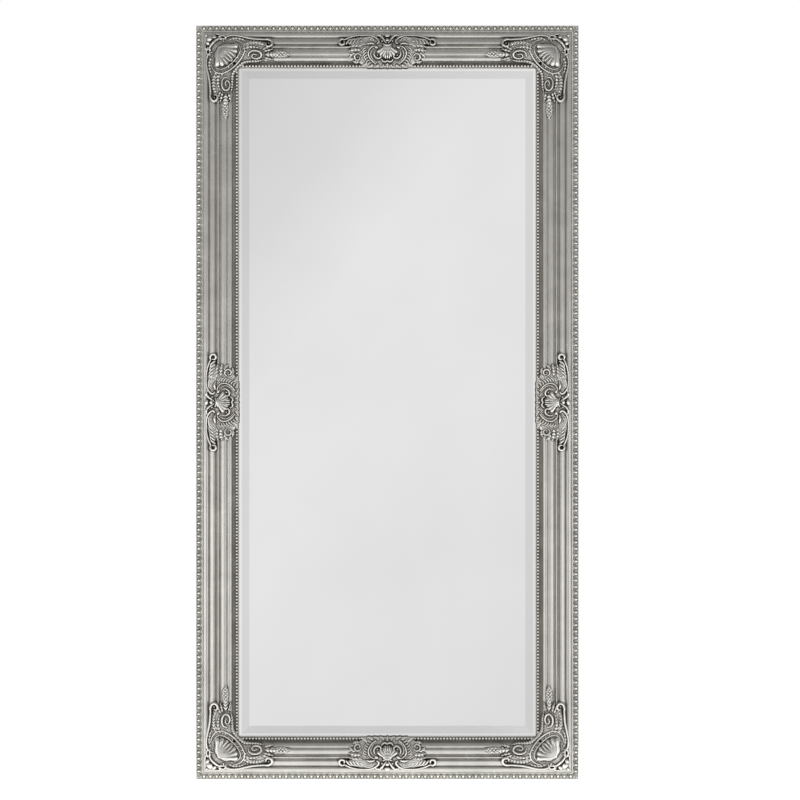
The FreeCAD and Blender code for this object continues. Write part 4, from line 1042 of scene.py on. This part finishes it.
def room():
    """A white room that the metal mirrors as bright low down and dark overhead."""
    world = bpy.data.worlds.new("room")
    bpy.context.scene.world = world
    n = Nodes(world)
    background = n.tree.nodes["Background"]
    path = n.add("ShaderNodeLightPath")
    split = n.add("ShaderNodeSeparateXYZ")
    n.link(n.add("ShaderNodeTexCoord").outputs["Generated"], split.inputs["Vector"])
    aside, rise = split.outputs["X"], split.outputs["Z"]
    off_axis = n.math("MAXIMUM", n.times(n.math("ABSOLUTE", aside), 1.75),
                      n.math("ABSOLUTE", rise))
    # Straight ahead: what the plate and its bevels show
    ahead = n.ramp(off_axis, [(0.128, 0.945), (0.14, 0.98), (0.165, 0.98), (0.19, 0.83),
                              (0.36, 0.81)])
    side = n.math("MINIMUM", n.math("MAXIMUM", aside, -0.05), 0.05)
    tilt = n.math("MINIMUM", n.math("MAXIMUM", rise, -0.11), 0.11)
    slant = n.minus(n.times(tilt, 2.25), n.times(side, 3.0))
    cast = n.ramp(n.plus(slant, 0.5), [(0.1, 0.895), (0.25, 0.96), (0.35, 0.974), (0.5, 1.0),
                                       (0.64, 1.005), (0.75, 0.896), (0.9, 0.788)])
    ahead = n.times(ahead, cast)
    under = n.math("MINIMUM", n.plus(rise, 0.13), 0.0)
    ahead = n.times(ahead, n.plus(1.0, n.times(under, 0.5)))
    # Further out: bright below and dark above for the frame, and milder for the sharp plate
    height = n.plus(n.times(rise, 0.5), 0.5)
    around = n.ramp(height, [(0.1, 1.1), (0.3, 1.04), (0.42, 0.66), (0.52, 0.48), (0.62, 0.38),
                             (0.8, 0.3), (1.0, 0.28)])
    around = n.times(around, 1.32)
    mild = n.times(n.ramp(height, [(0.15, 1.0), (0.45, 0.93), (0.7, 0.8)]), 0.88)
    around = n.mix(path.outputs["Is Singular Ray"], around, mild)
    outward = n.ramp(off_axis, [(0.3, 0.0), (0.5, 1.0)])
    level = n.plus(n.times(ahead, n.minus(1.0, outward)), n.times(around, outward))
    front = n.math("LESS_THAN", split.outputs["Y"], 0.0)
    level = n.plus(n.times(level, front), n.times(n.minus(1.0, front), around))
    # White for the camera and through glass, and a little less as plain light
    glossy = path.outputs["Is Glossy Ray"]
    shown = n.math("MAXIMUM", path.outputs["Is Camera Ray"], path.outputs["Is Transmission Ray"])
    plain = n.plus(0.7, n.times(shown, 0.3))
    n.link(n.plus(n.times(glossy, level), n.times(n.minus(1.0, glossy), plain)),
           background.inputs["Strength"])
    background.inputs["Color"].default_value = (1, 1, 1, 1)


def keep_boxes_off(plate):
    """The plate mirrors the room without its two low soft boxes."""
    spared = bpy.data.collections.new("spared_plate")
    spared.objects.link(plate)
    spared.collection_objects[0].light_linking.link_state = "EXCLUDE"
    for name in LOW_BOXES:
        bpy.data.objects[name].light_linking.receiver_collection = spared


def camera():
    """Straight on from far away; the photograph frames the object a little left of its middle."""
    data = bpy.data.cameras.new("camera")
    data.sensor_width = SENSOR_WIDE
    data.lens = SENSOR_WIDE * CAMERA_FAR / VIEW_WIDE
    data.clip_end = CAMERA_END
    made = bpy.data.objects.new("camera", data)
    made.location = (CAMERA_ASIDE, -CAMERA_FAR - RAIL_DEEP, HIGH / 2 + CAMERA_RAISED)
    made.rotation_euler = (math.pi / 2, 0, 0)
    bpy.context.scene.collection.objects.link(made)
    bpy.context.scene.camera = made


def main():
    bpy.context.scene.view_settings.view_transform = "Standard"
    camera()
    soft_boxes()
    room()
    stage()
    level_silver = silver_leaf("level_silver", "level", foot=FOOT_SHADOW_REACH)
    bar_silver = {"top": level_silver, "bottom": level_silver}
    for side, painted_tone_share in UPRIGHT_SHADING.items():
        bar_silver[side] = silver_leaf(f"{side}_upright_silver", "upright", painted_tone_share, foot=FOOT_SHADOW_REACH)
    bead_silver = silver_leaf("bead_silver", "bead")
    carved_silver = {side: silver_leaf(f"{side}_carved_silver", "carved", painted_tone_share, painted_wax_share)
                     for side, (painted_tone_share, painted_wax_share) in CARVED_SIDE_SHADING.items()}
    for side in SIDE_TURNS:
        moulding(side, bar_silver[side], bare_wood(f"bare_pine_{side}", side in LEVEL_SIDES))
        egg_row(side, bead_silver)
        pearl_row(side, bead_silver)
    ornaments(carved_silver)
    keep_boxes_off(mirror_plate(mirror("silvered_plate"), backing_paint("plate_paint")))
    dress_hardware()


main()
